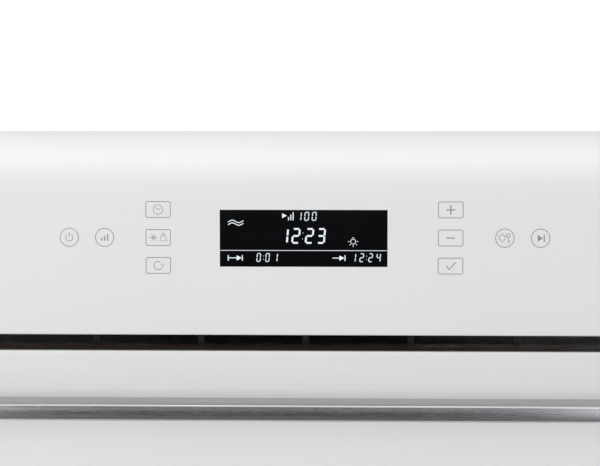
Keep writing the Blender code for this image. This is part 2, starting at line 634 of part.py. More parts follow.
def electronics():
    relays = [(-0.240 + 0.024 * i, 0.060, 0.008, 0.011, 0.020) for i in range(4)]
    others = [(-0.215, 0.150, 0.024, 0.022, 0.034), (-0.150, 0.160, 0.012, 0.020, 0.018)]
    loaded_board("power_board", (-0.258, 0.035), (-0.125, 0.200), relays + others)
    transformer, heat_sink = (0.165, 0.075, 0.026, 0.024, 0.050), (0.218, 0.080, 0.010, 0.040, 0.034)
    supply = [transformer, heat_sink, (0.150, 0.140, 0.010, 0.010, 0.026)]
    loaded_board("inverter_board", (0.125, 0.035), (0.245, 0.180), supply)

    glass = box((-GLASS_HALF, GLASS_FRONT, PANEL_BOTTOM), (GLASS_HALF, GLASS_BACK, PANEL_TOP))
    part("control_glass", "white_glass", [glass])
    carrier = box((-0.2875, FRAME_FRONT, 0.3450), (0.2875, -0.0030, 0.4500))
    pocket = box((-0.2800, -0.020, 0.3500), (0.2800, -0.0050, 0.4450))
    cable = box((-0.030, -0.008, 0.385), (0.030, 0, 0.405))
    part("panel_carrier", "black_plastic", [carrier], [pocket, cable])

    board = box((-0.155, -0.0125, 0.362), (0.155, -0.0109, 0.428))
    pads = []
    for side in (1, -1):
        spots = [(KEY_COLUMNS[0], z) for z in KEY_ROWS] + [(x, KEY_ROWS[1]) for x in KEY_COLUMNS[1:]]
        pads += [rod((side * x, -0.0172, z), (side * x, -0.0120, z), 0.0035, 10) for x, z in spots]
    part("touch_board", "board", [board, *pads])
    display = box((-0.0495, -0.0172, 0.3765), (0.0495, -0.0130, 0.4125))
    part("display_module", "dark_glass", [display])

    block = box((-0.165, 0.5185, 0.385), (-0.105, 0.5255, 0.425))
    screws = [box((-0.158 + 0.018 * i, 0.5220, 0.400), (-0.148 + 0.018 * i, 0.530, 0.418)) for i in range(3)]
    part("terminal_block", "black_plastic", [block], screws)


# ---------------------------------------------------------------- door
POST_X = 0.2845
FRAME_FRONT_HALF, FRAME_BACK_HALF = 0.2925, 0.262
FRAME_LOW, FRAME_HIGH = 0.012, 0.3220
WINDOW_HALF, WINDOW_LOW, WINDOW_HIGH = 0.200, 0.062, 0.285
STEP_Y = -0.0030  # where the door frame narrows to enter the recess
CAP_BACK = 0.0140


def door_glass():
    slab = box((-GLASS_HALF, GLASS_FRONT, DOOR_BOTTOM), (GLASS_HALF, GLASS_BACK, DOOR_TOP))
    holes = both(lambda s: rod((s * POST_X, -0.030, BAR_MID), (s * POST_X, -0.010, BAR_MID), 0.0035))
    part("door_outer_glass", "white_glass", [slab], holes, "door")
    panes = {
        "door_screen": ("stainless", 0.2100, 0.0520, 0.2950, -0.0150, -0.0142),
        "door_middle_glass": ("clear_glass", 0.2100, 0.0520, 0.2950, 0.0010, 0.0040),
        "door_inner_glass": ("clear_glass", 0.2350, 0.0350, 0.3050, 0.0070, 0.0110),
    }
    for name, (look, half, low, high, front, back) in panes.items():
        part(name, look, [box((-half, front, low), (half, back, high))], body="door")


def door_frame():
    front = box((-FRAME_FRONT_HALF, FRAME_FRONT, FRAME_LOW), (FRAME_FRONT_HALF, STEP_Y, FRAME_HIGH))
    back = box((-FRAME_BACK_HALF, STEP_Y - 0.0005, FRAME_LOW), (FRAME_BACK_HALF, DOOR_BACK, FRAME_HIGH))
    cuts = [
        box((-WINDOW_HALF, -0.030, WINDOW_LOW), (WINDOW_HALF, 0.030, WINDOW_HIGH)),
        box((-0.2103, -0.030, 0.0517), (0.2103, -0.0130, 0.2953)),
        box((-0.2103, 0.0007, 0.0517), (0.2103, 0.0075, 0.2953)),
        box((-0.2353, 0.0067, 0.0347), (0.2353, 0.030, 0.3053)),
    ]
    cuts += both(pocket, 0.229, 0.251, -0.0165, 0.030, 0.000, 0.027)  # hinge arm
    cuts += both(pocket, 0.229, 0.251, -0.0145, 0.004, 0.026, 0.032)  # rod's slotted end
    cuts += both(lambda s: rod((s * ROD_X, ROD_Y, 0.025), (s * ROD_X, ROD_Y, 0.070), 0.0030))
    cuts += both(pocket, 0.229, 0.251, -0.0145, 0.004, 0.060, 0.180)  # spring
    cuts += both(lambda s: rod((s * 0.2240, HINGE_Y, HINGE_Z), (s * 0.2560, HINGE_Y, HINGE_Z), 0.0033))
    cuts += both(lambda s: rod((s * POST_X, -0.030, BAR_MID), (s * POST_X, -0.008, BAR_MID), 0.0033))
    cuts += both(pocket, 0.238, 0.252, -0.010, 0.030, 0.288, 0.316)  # latch hook
    cuts += both(lambda s: rod((s * 0.2345, LATCH_Y, LATCH_Z), (s * 0.2560, LATCH_Y, LATCH_Z), 0.0033))
    part("door_frame", "door_frame", [front, back], cuts, "door")
    cap_low, cap_high = FRAME_HIGH + GAP, DOOR_TOP - 0.0002
    cap_front = box((-FRAME_FRONT_HALF, FRAME_FRONT, cap_low), (FRAME_FRONT_HALF, STEP_Y, cap_high))
    cap_back = box((-FRAME_BACK_HALF, STEP_Y - 0.0005, cap_low), (FRAME_BACK_HALF, CAP_BACK, cap_high))
    part("door_top_cap", "brown_plastic", [cap_front, cap_back], body="door")


def handle():
    bar = box((-BAR_HALF, HANDLE_FRONT, BAR_TOP - BAR_HEIGHT), (BAR_HALF, HANDLE_BACK, BAR_TOP))
    part("handle_bar", "brushed_aluminium", [bar], body="door")
    for side in (1, -1):
        x_low, x_high = span(side, POST_X - 0.010, POST_X + 0.010)
        foot = box((x_low, HANDLE_BACK + GAP, BAR_TOP - BAR_HEIGHT), (x_high, GLASS_FRONT - GAP, BAR_TOP))
        stud = rod((side * POST_X, -0.030, BAR_MID), (side * POST_X, -0.0090, BAR_MID), 0.0030)
        name = "handle_post_right" if side > 0 else "handle_post_left"
        part(name, "brushed_aluminium", [foot, stud], body="door")


# The hinge arm stays with the housing. A lug on it draws the rod down inside the door as the door opens.
ARM_X, ARM_HALF = 0.2400, 0.0015
LUG_RADIUS, LUG_ANGLE = 0.009, 60
LUG = arc((HINGE_Y, HINGE_Z), LUG_RADIUS, LUG_ANGLE, LUG_ANGLE, 1)[0]
ROD_Y = -0.0050
SPRING_LOW, SPRING_HIGH = 0.0603, 0.1497


def hinge(side):
    name = "right" if side > 0 else "left"
    pivot = (HINGE_Y, HINGE_Z)
    outline = arc(pivot, 0.006, 130, 270, 8)
    outline += [(0.070, HINGE_Z - 0.006), (0.070, HINGE_Z + 0.004), (0.012, HINGE_Z + 0.006)]
    outline += arc(LUG, 0.0028, 30, 130, 4)
    x_low, x_high = span(side, ARM_X - ARM_HALF, ARM_X + ARM_HALF)
    plate = prism(outline, "X", x_low, x_high)
    boss = rod((side * 0.2255, *pivot), (side * 0.2418, *pivot), 0.0030)  # ends short of the rod's path
    lug = rod((side * ARM_X, *LUG), (side * 0.2475, *LUG), 0.0016, 8)
    part("hinge_arm_" + name, "black_steel", [plate, boss, lug])

    x_low, x_high = span(side, ROD_X - 0.0015, ROD_X + 0.0015)
    eye = box((x_low, -0.0095, 0.0180), (x_high, 0.0030, 0.0290))
    slot = box((x_low - 0.001, -0.0078, LUG[1] - 0.0026), (x_high + 0.001, 0.0013, LUG[1] + 0.0026))
    stem = rod((side * ROD_X, ROD_Y, 0.0280), (side * ROD_X, ROD_Y, 0.1650), 0.0021, 8)
    collar = rod((side * ROD_X, ROD_Y, 0.1500), (side * ROD_X, ROD_Y, 0.1540), 0.0058)
    part("hinge_rod_" + name, "stainless", [eye, stem, collar], [slot], "rod_" + name)

    turns, steps, radius, thick = 8, 8, 0.0044, 0.0008
    rise = SPRING_HIGH - SPRING_LOW - 2 * thick
    coil = []
    for i in range(turns * steps + 1):
        a = math.radians(360 * i / steps)
        z = SPRING_LOW + thick + rise * i / (turns * steps)
        coil.append((side * ROD_X + radius * math.cos(a), ROD_Y + radius * math.sin(a), z))
    wire("hinge_spring_" + name, "stainless", coil, thick, 0, "door")


def latch_hook(side):
    name = "right" if side > 0 else "left"
    x_low, x_high = span(side, LATCH_X - 0.0025, LATCH_X + 0.0025)
    outline = [(-0.006, LATCH_Z - 0.004), (0.024, LATCH_Z - 0.004), (0.026, LATCH_Z - 0.009)]
    outline += [(0.033, LATCH_Z - 0.009), (0.034, LATCH_Z)]
    outline += [(0.028, LATCH_Z + 0.004), (-0.006, LATCH_Z + 0.004)]
    lever = prism(outline, "X", x_low, x_high)
    pin = rod((side * 0.2350, LATCH_Y, LATCH_Z), (side * 0.2555, LATCH_Y, LATCH_Z), 0.0030)
    part("latch_hook_" + name, "grey_plastic", [lever, pin], body="latch_" + name)


def door_fittings():
    ring = prism(rounded(0.2345, 0.0475, 0.3045, 0.018), "Y", 0.0113, PLATE_FRONT - GAP)
    hole = prism(rounded(0.2225, 0.0595, 0.2925, 0.010), "Y", 0.000, 0.030)
    part("door_gasket", "rubber", [ring], [hole])
    seat = box((0.238, BEHIND_PLATE + GAP, 0.186), (0.258, 0.040, 0.214))
    bore = rod((SWITCH_X, 0.010, SWITCH_Z), (SWITCH_X, 0.0310, SWITCH_Z), 0.0031)
    part("door_switch", "black_plastic", [seat], [bore])
    button = rod((SWITCH_X, DOOR_BACK + GAP, SWITCH_Z), (SWITCH_X, 0.0255, SWITCH_Z), 0.0027)
    part("switch_plunger", "grey_plastic", [button], body="plunger")
    for side in (1, -1):  # the screw's thread belongs in the cabinet, so it ends at the flange's back
        head = rod((side * SCREW_X, -0.0027, SCREW_Z), (side * SCREW_X, -0.0015, SCREW_Z), 0.0040)
        shank = rod((side * SCREW_X, -0.0020, SCREW_Z), (side * SCREW_X, -GAP, SCREW_Z), 0.0018, 10)
        part("mounting_screw_right" if side > 0 else "mounting_screw_left", "stainless", [head, shank])


front_frame()
covers()
control_deck()
air_duct()
cavity()
wire_rack()
bake_tray()
fan_group()
grill_element()
lamp_and_probe()
microwave()
cooling()
electronics()
door_glass()
door_frame()
handle()
door_fittings()
for side in (1, -1):
    side_panel(side)
    side_rack(side)
    hinge(side)
    latch_hook(side)
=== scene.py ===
"""Finished look of the compact built-in combination oven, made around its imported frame.

Metres, +Z up, front towards -Y, in the frame's own coordinates. Each piece rides on the body that it is
fastened to. The driving sizes come from the frame's own boxes.
"""

import json
import math

import bpy
from mathutils import Matrix, Vector


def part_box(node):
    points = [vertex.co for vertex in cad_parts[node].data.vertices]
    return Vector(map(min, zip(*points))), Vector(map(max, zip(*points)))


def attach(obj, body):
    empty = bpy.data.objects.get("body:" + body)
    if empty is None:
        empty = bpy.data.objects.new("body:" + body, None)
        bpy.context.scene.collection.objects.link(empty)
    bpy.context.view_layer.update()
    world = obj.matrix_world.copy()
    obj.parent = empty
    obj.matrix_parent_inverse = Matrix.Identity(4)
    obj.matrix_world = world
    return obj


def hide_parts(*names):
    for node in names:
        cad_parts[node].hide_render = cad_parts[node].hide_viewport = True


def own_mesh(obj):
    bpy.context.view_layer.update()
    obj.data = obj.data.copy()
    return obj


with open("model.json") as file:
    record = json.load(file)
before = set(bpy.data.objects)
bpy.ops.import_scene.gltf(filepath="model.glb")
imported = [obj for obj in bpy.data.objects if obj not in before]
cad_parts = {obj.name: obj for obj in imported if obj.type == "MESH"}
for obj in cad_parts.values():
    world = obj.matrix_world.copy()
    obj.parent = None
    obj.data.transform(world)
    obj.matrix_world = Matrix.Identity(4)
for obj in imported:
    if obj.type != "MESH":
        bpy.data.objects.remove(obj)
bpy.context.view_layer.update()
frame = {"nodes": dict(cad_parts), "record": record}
NODES = frame["nodes"]

# ---------------------------------------------------------------- driving sizes
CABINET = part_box("front_frame")[1].y - 0.0172  # the cabinet's front plane
PANEL_LOW, PANEL_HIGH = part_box("control_glass")
DOOR_LOW, DOOR_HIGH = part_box("door_outer_glass")
GLASS_FACE = PANEL_LOW.y
BAR_LOW, BAR_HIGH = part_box("handle_bar")
WINDOW_LOW, WINDOW_HIGH = Vector((-0.0478, 0, 0.3783)), Vector((0.0472, 0, 0.4106))
KEY_ROWS = (0.4107, 0.3948, 0.3789)
RECT_KEY_X, ROUND_KEY_X = 0.0828, (0.1133, 0.1334)
KEY_WIDE, KEY_TALL, KEY_ROUND = 0.0139, 0.0090, 0.0052
PRINT_LINE, THIN_PRINT, BOLD_PRINT = 0.0005, 0.00042, 0.00075
PRINT_THICK = 0.00005


# ---------------------------------------------------------------- modelling by hand
def fresh():
    if bpy.context.object and bpy.context.object.mode != "OBJECT":
        bpy.ops.object.mode_set(mode="OBJECT")
    bpy.ops.object.select_all(action="DESELECT")


def take(*pieces):
    fresh()
    for piece in pieces:
        piece.select_set(True)
    bpy.context.view_layer.objects.active = pieces[0]
    return pieces[0]


def settle(piece):
    """Puts the object's place, turn and size into its mesh."""
    take(piece)
    bpy.ops.object.transform_apply(location=True, rotation=True, scale=True)
    return piece


def block(name, low, high):
    fresh()
    low, high = Vector(low), Vector(high)
    bpy.ops.mesh.primitive_cube_add(size=1, location=(low + high) / 2)
    piece = bpy.context.object
    piece.name = piece.data.name = name
    piece.scale = high - low
    return settle(piece)


def bar(name, start, end, radius, sides=24):
    """Round bar between two points."""
    fresh()
    start, end = Vector(start), Vector(end)
    bpy.ops.mesh.primitive_cone_add(
        vertices=sides, radius1=radius, radius2=radius, depth=(end - start).length, location=(start + end) / 2
    )
    piece = bpy.context.object
    piece.name = piece.data.name = name
    piece.rotation_mode = "QUATERNION"
    piece.rotation_quaternion = (end - start).to_track_quat("Z", "Y")
    return settle(piece)


def choose(piece, test, kind="FACE"):
    """Opens the piece in edit mode with the faces or edges selected that pass the test."""
    take(piece)
    bpy.ops.object.mode_set(mode="EDIT")
    bpy.ops.mesh.select_mode(type=kind)
    bpy.ops.mesh.select_all(action="DESELECT")
    bpy.ops.object.mode_set(mode="OBJECT")
    mesh = piece.data
    if kind == "FACE":
        for face in mesh.polygons:
            face.select = test(face.center, face.normal)
    else:
        for edge in mesh.edges:
            start, end = (mesh.vertices[i].co for i in edge.vertices)
            edge.select = test((start + end) / 2, (end - start).normalized())
    bpy.ops.object.mode_set(mode="EDIT")


def done(piece):
    take(piece)
    return piece


def round_edges(piece, axis, offset, segments):
    """Rounds the edges that run along one axis."""
    choose(piece, lambda middle, along: abs(along["XYZ".index(axis)]) > 0.9, "EDGE")
    bpy.ops.mesh.bevel(offset=offset, segments=segments, affect="EDGES")
    return done(piece)


def set_in(piece, test, border, move=(0, 0, 0)):
    """Insets the faces that pass the test, and moves what is left of them."""
    choose(piece, test)
    bpy.ops.mesh.inset(thickness=border)
    bpy.ops.transform.translate(value=move)
    return done(piece)


def open_up(piece, test):
    """Takes away the faces that pass the test."""
    choose(piece, test)
    bpy.ops.mesh.delete(type="FACE")
    return done(piece)


def flatten(piece, spot, factors):
    """Draws the piece out or in along its axes, about a spot."""
    spot = Vector(spot)
    drawn = Matrix.Diagonal((*factors, 1))
    piece.data.transform(Matrix.Translation(spot) @ drawn @ Matrix.Translation(-spot))
    return piece


def step(piece, kind, **settings):
    """Adds a modifier and applies it at once."""
    take(piece)
    made = piece.modifiers.new(kind.lower(), kind)
    for key, value in settings.items():
        setattr(made, key, value)
    bpy.ops.object.modifier_apply(modifier=made.name)
    return piece


def soften(piece, width, segments=2, angle=40):
    """Rounds every edge sharper than the angle."""
    return step(
        piece, "BEVEL", width=width, segments=segments, limit_method="ANGLE", angle_limit=math.radians(angle)
    )


def smooth(piece, angle=35, crowned=False):
    """Smooth shading up to the angle; a flat face stays flat to its rounded edges, unless it is crowned."""
    take(piece)
    bpy.ops.object.shade_smooth_by_angle(angle=math.radians(angle))
    return piece if crowned else step(piece, "WEIGHTED_NORMAL", weight=90, keep_sharp=True)


def joined(pieces, name=None):
    whole = take(*pieces)
    if len(pieces) > 1:
        bpy.ops.object.join()
    if name:
        whole.name = whole.data.name = name
    return whole


def cut(piece, tools, operation="DIFFERENCE"):
    tool = joined(tools)
    step(piece, "BOOLEAN", operation=operation, solver="EXACT", use_self=True, object=tool)
    bpy.data.objects.remove(tool)
    return piece


def row(piece, count, move):
    """The piece repeated in a row."""
    return step(
        piece, "ARRAY", count=count, use_relative_offset=False, use_constant_offset=True,
        constant_offset_displace=move,
    )


def twin(piece, name, move=(0, 0, 0), turn=None):
    """A copy with its own mesh, moved or turned."""
    copy = piece.copy()
    copy.data = piece.data.copy()
    copy.name = copy.data.name = name
    bpy.context.collection.objects.link(copy)
    copy.data.transform(Matrix.Translation(move) @ (turn or Matrix()))
    return copy


def mirrored(piece, name):
    """A copy on the other side of the oven's middle."""
    copy = twin(piece, name, turn=Matrix.Scale(-1, 4, (1, 0, 0)))
    copy.data.flip_normals()
    return copy


def tube(name, points, radius, closed=False, detail=3):
    """A bent round bar along a line of points."""
    curve = bpy.data.curves.new(name, "CURVE")
    curve.dimensions = "3D"
    curve.bevel_depth = radius
    curve.bevel_resolution = detail
    curve.use_fill_caps = not closed
    line = curve.splines.new("POLY")
    line.points.add(len(points) - 1)
    line.use_cyclic_u = closed
    for spot, point in zip(line.points, points):
        spot.co = (*point, 1)
    piece = bpy.data.objects.new(name, curve)
    bpy.context.collection.objects.link(piece)
    take(piece)
    bpy.ops.object.convert(target="MESH")
    return smooth(bpy.context.object)


def arc(middle, radius, start, end, steps):
    """Points of an arc in a plane, angles in degrees."""
    turns = [math.radians(start + (end - start) * i / steps) for i in range(steps + 1)]
    return [(middle[0] + radius * math.cos(a), middle[1] + radius * math.sin(a)) for a in turns]


def rounded(low, high, radius, steps=6):
    """Corners of an upright rectangle with round corners; low and high hold x and z."""
    spots = [
        ((high[0] - radius, low[1] + radius), -90),
        ((high[0] - radius, high[1] - radius), 0),
        ((low[0] + radius, high[1] - radius), 90),
        ((low[0] + radius, low[1] + radius), 180),
    ]
    return [point for middle, turn in spots for point in arc(middle, radius, turn, turn + 90, steps)]


def bent(corners, radius, steps=6):
    """A line of points with its inner corners rounded."""
    points = [Vector(corners[0])]
    for before, corner, after in zip(corners, corners[1:], corners[2:]):
        before, corner, after = Vector(before), Vector(corner), Vector(after)
        start = corner + (before - corner).normalized() * radius
        end = corner + (after - corner).normalized() * radius
        for i in range(steps + 1):
            t = i / steps
            points.append(start * (1 - t) ** 2 + corner * 2 * t * (1 - t) + end * t**2)
    return points + [Vector(corners[-1])]


def plate(name, outline, front, back):
    """Flat upright sheet with the outline's shape, drawn from the front to the back."""
    fresh()
    mesh = bpy.data.meshes.new(name)
    mesh.from_pydata([(x, front, z) for x, z in outline], [], [list(range(len(outline)))])
    piece = bpy.data.objects.new(name, mesh)
    bpy.context.collection.objects.link(piece)
    choose(piece, lambda middle, normal: True)
    bpy.ops.mesh.extrude_region_move(TRANSFORM_OT_translate={"value": (0, back - front, 0)})
    bpy.ops.mesh.select_all(action="SELECT")
    bpy.ops.mesh.normals_make_consistent(inside=False)
    return done(piece)


def fit_out(piece, body, look, stands_for=(), angle=35, crowned=False):
    """Finishes a piece: its shading, its material, its body and the nodes it stands for."""
    smooth(piece, angle, crowned)
    if look:
        piece.data.materials.clear()
        piece.data.materials.append(look)
    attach(piece, body)
    if stands_for:
        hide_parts(*stands_for)
    return piece


# ---------------------------------------------------------------- materials
MIX_FACTOR, MIX_FIRST, MIX_SECOND, MIX_RESULT = 0, 6, 7, 2  # a Mix node's sockets when it mixes colours


class Field:
    """A value that varies over the surface; plus, minus, times and divided by add Math nodes."""

    def __init__(self, look, socket):
        self.look, self.socket = look, socket

    def maths(self, operation, first, second=0.0):
        return self.look.node("ShaderNodeMath", {"operation": operation}, {0: first, 1: second})

    def __add__(self, other):
        return self.maths("ADD", self, other)

    def __sub__(self, other):
        return self.maths("SUBTRACT", self, other)

    def __mul__(self, other):
        return self.maths("MULTIPLY", self, other)

    def __truediv__(self, other):
        return self.maths("DIVIDE", self, other)

    def __rsub__(self, other):
        return self.maths("SUBTRACT", other, self)

    def __lt__(self, other):
        return self.maths("LESS_THAN", self, other)

    __radd__, __rmul__ = __add__, __mul__


class Look:
    """One material: a principled shader and the patterns that feed it."""

    def __init__(self, name, colour, roughness, metallic=0.0, **fixed):
        self.material = bpy.data.materials.new(name)
        self.material.use_nodes = True
        self.tree = self.material.node_tree
        self.shader = self.tree.nodes["Principled BSDF"]
        self.feed("Base Color", (*colour, 1))
        self.feed("Roughness", roughness)
        self.feed("Metallic", metallic)
        for socket, value in fixed.items():
            self.feed(socket.replace("_", " "), value)
        self.place = None

    def connect(self, socket, value):
        if isinstance(value, Field):
            self.tree.links.new(value.socket, socket)
        else:
            socket.default_value = value

    def feed(self, socket, value):
        self.connect(self.shader.inputs[socket], value)

    def node(self, kind, settings=None, sockets=None, output=0):
        made = self.tree.nodes.new(kind)
        for key, value in (settings or {}).items():
            setattr(made, key, value)
        for key, value in (sockets or {}).items():
            self.connect(made.inputs[key], value)
        return Field(self, made.outputs[output])

    def spot(self, stretch=(1, 1, 1)):
        """The place on the oven, squeezed or drawn out along its axes."""
        if self.place is None:
            self.place = self.node("ShaderNodeTexCoord", output="Object")
        return self.node("ShaderNodeMapping", None, {"Vector": self.place, "Scale": stretch})

    def along(self, axis):
        """The place along one axis, in metres."""
        return self.node("ShaderNodeSeparateXYZ", None, {"Vector": self.spot()}, "XYZ".index(axis))

    def noise(self, scale, detail=2.0, roughness=0.5, stretch=(1, 1, 1)):
        sockets = {"Vector": self.spot(stretch), "Scale": scale, "Detail": detail, "Roughness": roughness}
        return self.node("ShaderNodeTexNoise", None, sockets)

    def cells(self, scale, output=0):
        return self.node("ShaderNodeTexVoronoi", None, {"Vector": self.spot(), "Scale": scale}, output)

    def between(self, share, first, second):
        """A colour between two others."""
        first, second = ((*c, 1) if isinstance(c, tuple) else c for c in (first, second))
        sockets = {MIX_FACTOR: share, MIX_FIRST: first, MIX_SECOND: second}
        return self.node("ShaderNodeMix", {"data_type": "RGBA"}, sockets, MIX_RESULT)

    def relief(self, height, depth, strength=1.0):
        """Bump of the given depth in metres."""
        bump = self.node("ShaderNodeBump", None, {"Height": height, "Distance": depth, "Strength": strength})
        self.feed("Normal", bump)


def shade(colour, factor):
    return tuple(c * factor for c in colour)


def glossy_white(name, colour):
    """White enamel fired on a pane's back: faint cloudiness in the ink, faint wipe marks in the gloss."""
    look = Look(name, colour, 0.05, IOR=1.5)
    cloud = look.noise(9.0, 3.0)
    look.feed("Base Color", look.between(cloud, shade(colour, 0.985), shade(colour, 1.012)))
    look.feed("Roughness", look.noise(30.0, 4.0, 0.6, (1, 1, 0.3)) * 0.03 + 0.035)
    return look.material


def ground_edge():
    """Ground and polished edge of the pane: brighter, slightly green, with fine grinding lines."""
    look = Look("ground_glass_edge", (0.68, 0.72, 0.71), 0.16, IOR=1.5)
    lines = look.noise(900.0, 1.0, 0.5, (0.02, 1, 1))
    look.feed("Base Color", look.between(lines, (0.62, 0.665, 0.655), (0.73, 0.765, 0.755)))
    look.feed("Roughness", lines * 0.12 + 0.10)
    return look.material


def panel_ink():
    look = Look("panel_ink", (0.27, 0.27, 0.28), 0.35)
    grain = look.noise(2600.0, 2.0)
    look.feed("Base Color", look.between(grain, (0.235, 0.235, 0.245), (0.30, 0.30, 0.31)))
    look.feed("Roughness", grain * 0.2 + 0.2)
    return look.material


def display_pane():
    """Dark filter in front of the display, with a faint cloud in its black."""
    look = Look("display_filter", (0.002, 0.002, 0.003), 0.06, Specular_IOR_Level=0.25)
    cloud = look.noise(60.0, 3.0)
    look.feed("Base Color", look.between(cloud, (0.0012, 0.0012, 0.0018), (0.0024, 0.0024, 0.0032)))
    look.feed("Roughness", cloud * 0.05 + 0.04)
    return look.material


def display_light():
    """Lit segments: bluish white and slightly uneven."""
    look = Look("display_light", (0.02, 0.02, 0.02), 0.5, Emission_Strength=1.0)
    glow = look.noise(900.0, 1.0)
    look.feed("Emission Color", look.between(glow, (0.74, 0.84, 0.96), (0.88, 0.95, 1.0)))
    return look.material


def brushed(name, colour, roughness, lengthwise=(0.012, 1, 1), depth=0.00002, contrast=0.35):
    """Brushed metal: long fine streaks along one axis in colour, gloss and relief."""
    look = Look(name, colour, roughness, 1.0)
    fine = look.noise(5200.0, 2.0, 0.6, lengthwise)
    broad = look.noise(900.0, 3.0, 0.6, lengthwise)
    streak = fine * 0.6 + broad * 0.4
    look.feed("Base Color", look.between(streak, shade(colour, 1 - contrast), shade(colour, 1 + contrast)))
    look.feed("Roughness", streak * 0.30 + (roughness - 0.15))
    look.relief(streak, depth, 0.5)
    return look.material


def spangled_zinc(name, colour):
    """Hot-dip galvanised sheet: zinc flowers a few millimetres wide, fine rolling grain and faint stains."""
    look = Look(name, colour, 0.42, 1.0)
    flower = look.node("ShaderNodeSeparateColor", None, {"Color": look.cells(150.0, output="Color")})
    grain = look.noise(2200.0, 3.0, 0.6, (1, 1, 0.15))
    stain = look.noise(14.0, 4.0, 0.6)
    tone = flower * 0.5 + grain * 0.25 + stain * 0.25
    look.feed("Base Color", look.between(tone, shade(colour, 0.72), shade(colour, 1.22)))
    look.feed("Roughness", flower * 0.18 + grain * 0.12 + 0.26)
    look.relief(grain, 0.00002, 0.4)
    return look.material


def speckled_enamel():
    """Dark blue-grey vitreous enamel with fine pale specks and a slightly wavy gloss."""
    look = Look("speckled_enamel", (0.028, 0.030, 0.036), 0.14, Coat_Weight=0.4, Coat_Roughness=0.06)
    speck = look.cells(620.0) < 0.16
    big = look.cells(260.0) < 0.09
    body = look.between(look.noise(18.0, 3.0), (0.022, 0.024, 0.030), (0.036, 0.038, 0.045))
    look.feed("Base Color", look.between(speck * 0.55 + big * 0.3, body, (0.42, 0.44, 0.47)))
    wave = look.noise(120.0, 2.0)
    look.feed("Roughness", wave * 0.12 + 0.08)
    look.relief(wave, 0.0003, 0.35)
    return look.material


def heater_sheath():
    """Oxidised heater tube: dark brown-grey scale with paler, rubbed patches."""
    look = Look("oxidised_sheath", (0.09, 0.08, 0.075), 0.55, 0.6)
    scale = look.noise(260.0, 5.0, 0.65)
    look.feed("Base Color", look.between(scale, (0.045, 0.038, 0.034), (0.17, 0.155, 0.14)))
    look.feed("Roughness", scale * 0.35 + 0.35)
    look.relief(scale, 0.0001, 0.6)
    return look.material


def mineral_wool():
    look = Look("mineral_wool", (0.66, 0.60, 0.46), 0.95)
    fibre = look.noise(420.0, 6.0, 0.75, (1, 0.35, 1.4))
    tuft = look.noise(55.0, 4.0, 0.6)
    look.feed("Base Color", look.between(fibre * 0.6 + tuft * 0.4, (0.46, 0.39, 0.26), (0.80, 0.75, 0.62)))
    look.relief(fibre * 0.5 + tuft * 0.5, 0.0016, 0.8)
    return look.material


def moulded(name, colour, roughness, grain=0.00006, scale=1500.0):
    """Moulded plastic or painted steel with a fine grain."""
    look = Look(name, colour, roughness)
    fine = look.noise(scale, 3.0, 0.6)
    broad = look.noise(26.0, 3.0)
    look.feed("Base Color", look.between(fine * 0.5 + broad * 0.5, shade(colour, 0.80), shade(colour, 1.22)))
    look.feed("Roughness", fine * 0.16 + broad * 0.06 + (roughness - 0.11))
    look.relief(fine, grain, 0.5)
    return look.material


def circuit_board():
    """Green solder mask over copper tracks, with tinned pads in a grid."""
    look = Look("circuit_board", (0.012, 0.09, 0.04), 0.4, Coat_Weight=0.2)
    tracks = look.node(
        "ShaderNodeTexBrick",
        {"offset": 0.37, "squash": 0.6, "squash_frequency": 3},
        {
            "Vector": look.spot(), "Scale": 60.0,
            "Mortar Size": 0.018, "Brick Width": 0.7, "Row Height": 0.16,
            "Color1": (0, 0, 0, 1), "Color2": (0, 0, 0, 1), "Mortar": (1, 1, 1, 1),
        },
        "Color",
    )
    pads = look.cells(230.0) < 0.16
    green = look.between(tracks, (0.010, 0.070, 0.032), (0.022, 0.15, 0.065))
    look.feed("Base Color", look.between(pads, green, (0.55, 0.55, 0.53)))
    look.feed("Metallic", pads * 0.9)
    look.feed("Roughness", 0.42 - pads * 0.12)
    return look.material


def fired_ceramic(name, colour):
    look = Look(name, colour, 0.42)
    grain = look.noise(700.0, 4.0, 0.6)
    stain = look.noise(30.0, 3.0)
    look.feed("Base Color", look.between(grain * 0.4 + stain * 0.6, shade(colour, 0.88), shade(colour, 1.06)))
    look.feed("Roughness", grain * 0.2 + 0.32)
    look.relief(grain, 0.0001, 0.4)
    return look.material


def door_pane(name, colour, alpha):
    """Clear or tinted float glass, with faint wipe marks in its gloss."""
    look = Look(name, colour, 0.03, IOR=1.5, Alpha=alpha)
    look.feed("Base Color", look.between(look.noise(12.0, 3.0), shade(colour, 0.93), shade(colour, 1.07)))
    look.feed("Roughness", look.noise(40.0, 3.0, 0.6) * 0.03 + 0.02)
    look.material.surface_render_method = "BLENDED"
    return look.material


def perforated_screen():
    """Microwave screen: sheet steel, painted black, with round holes in rows set half a pitch apart."""
    look = Look("perforated_screen", (0.03, 0.03, 0.032), 0.45, 0.5)
    pitch, hole = 0.0024, 0.00075
    x, z = look.along("X") / pitch, look.along("Z") / (pitch * math.sqrt(3))

    def bore(shift):
        across = (x + shift).maths("FRACT", x + shift) - 0.5
        up = z.maths("FRACT", z + shift) - 0.5
        across, up = across * pitch, up * (pitch * math.sqrt(3))
        return across.maths("SQRT", across * across + up * up) < hole

    look.feed("Alpha", 1 - (bore(0.0) + bore(0.5)))
    look.feed("Roughness", look.noise(900.0, 2.0) * 0.2 + 0.35)
    look.material.surface_render_method = "DITHERED"
    return look.material


def soft_rubber():
    look = Look("silicone_rubber", (0.045, 0.045, 0.05), 0.62)
    dust = look.noise(220.0, 5.0, 0.7)
    look.feed("Base Color", look.between(dust, (0.028, 0.028, 0.032), (0.075, 0.075, 0.08)))
    look.feed("Roughness", dust * 0.25 + 0.5)
    look.relief(look.noise(1500.0, 2.0), 0.00004, 0.5)
    return look.material


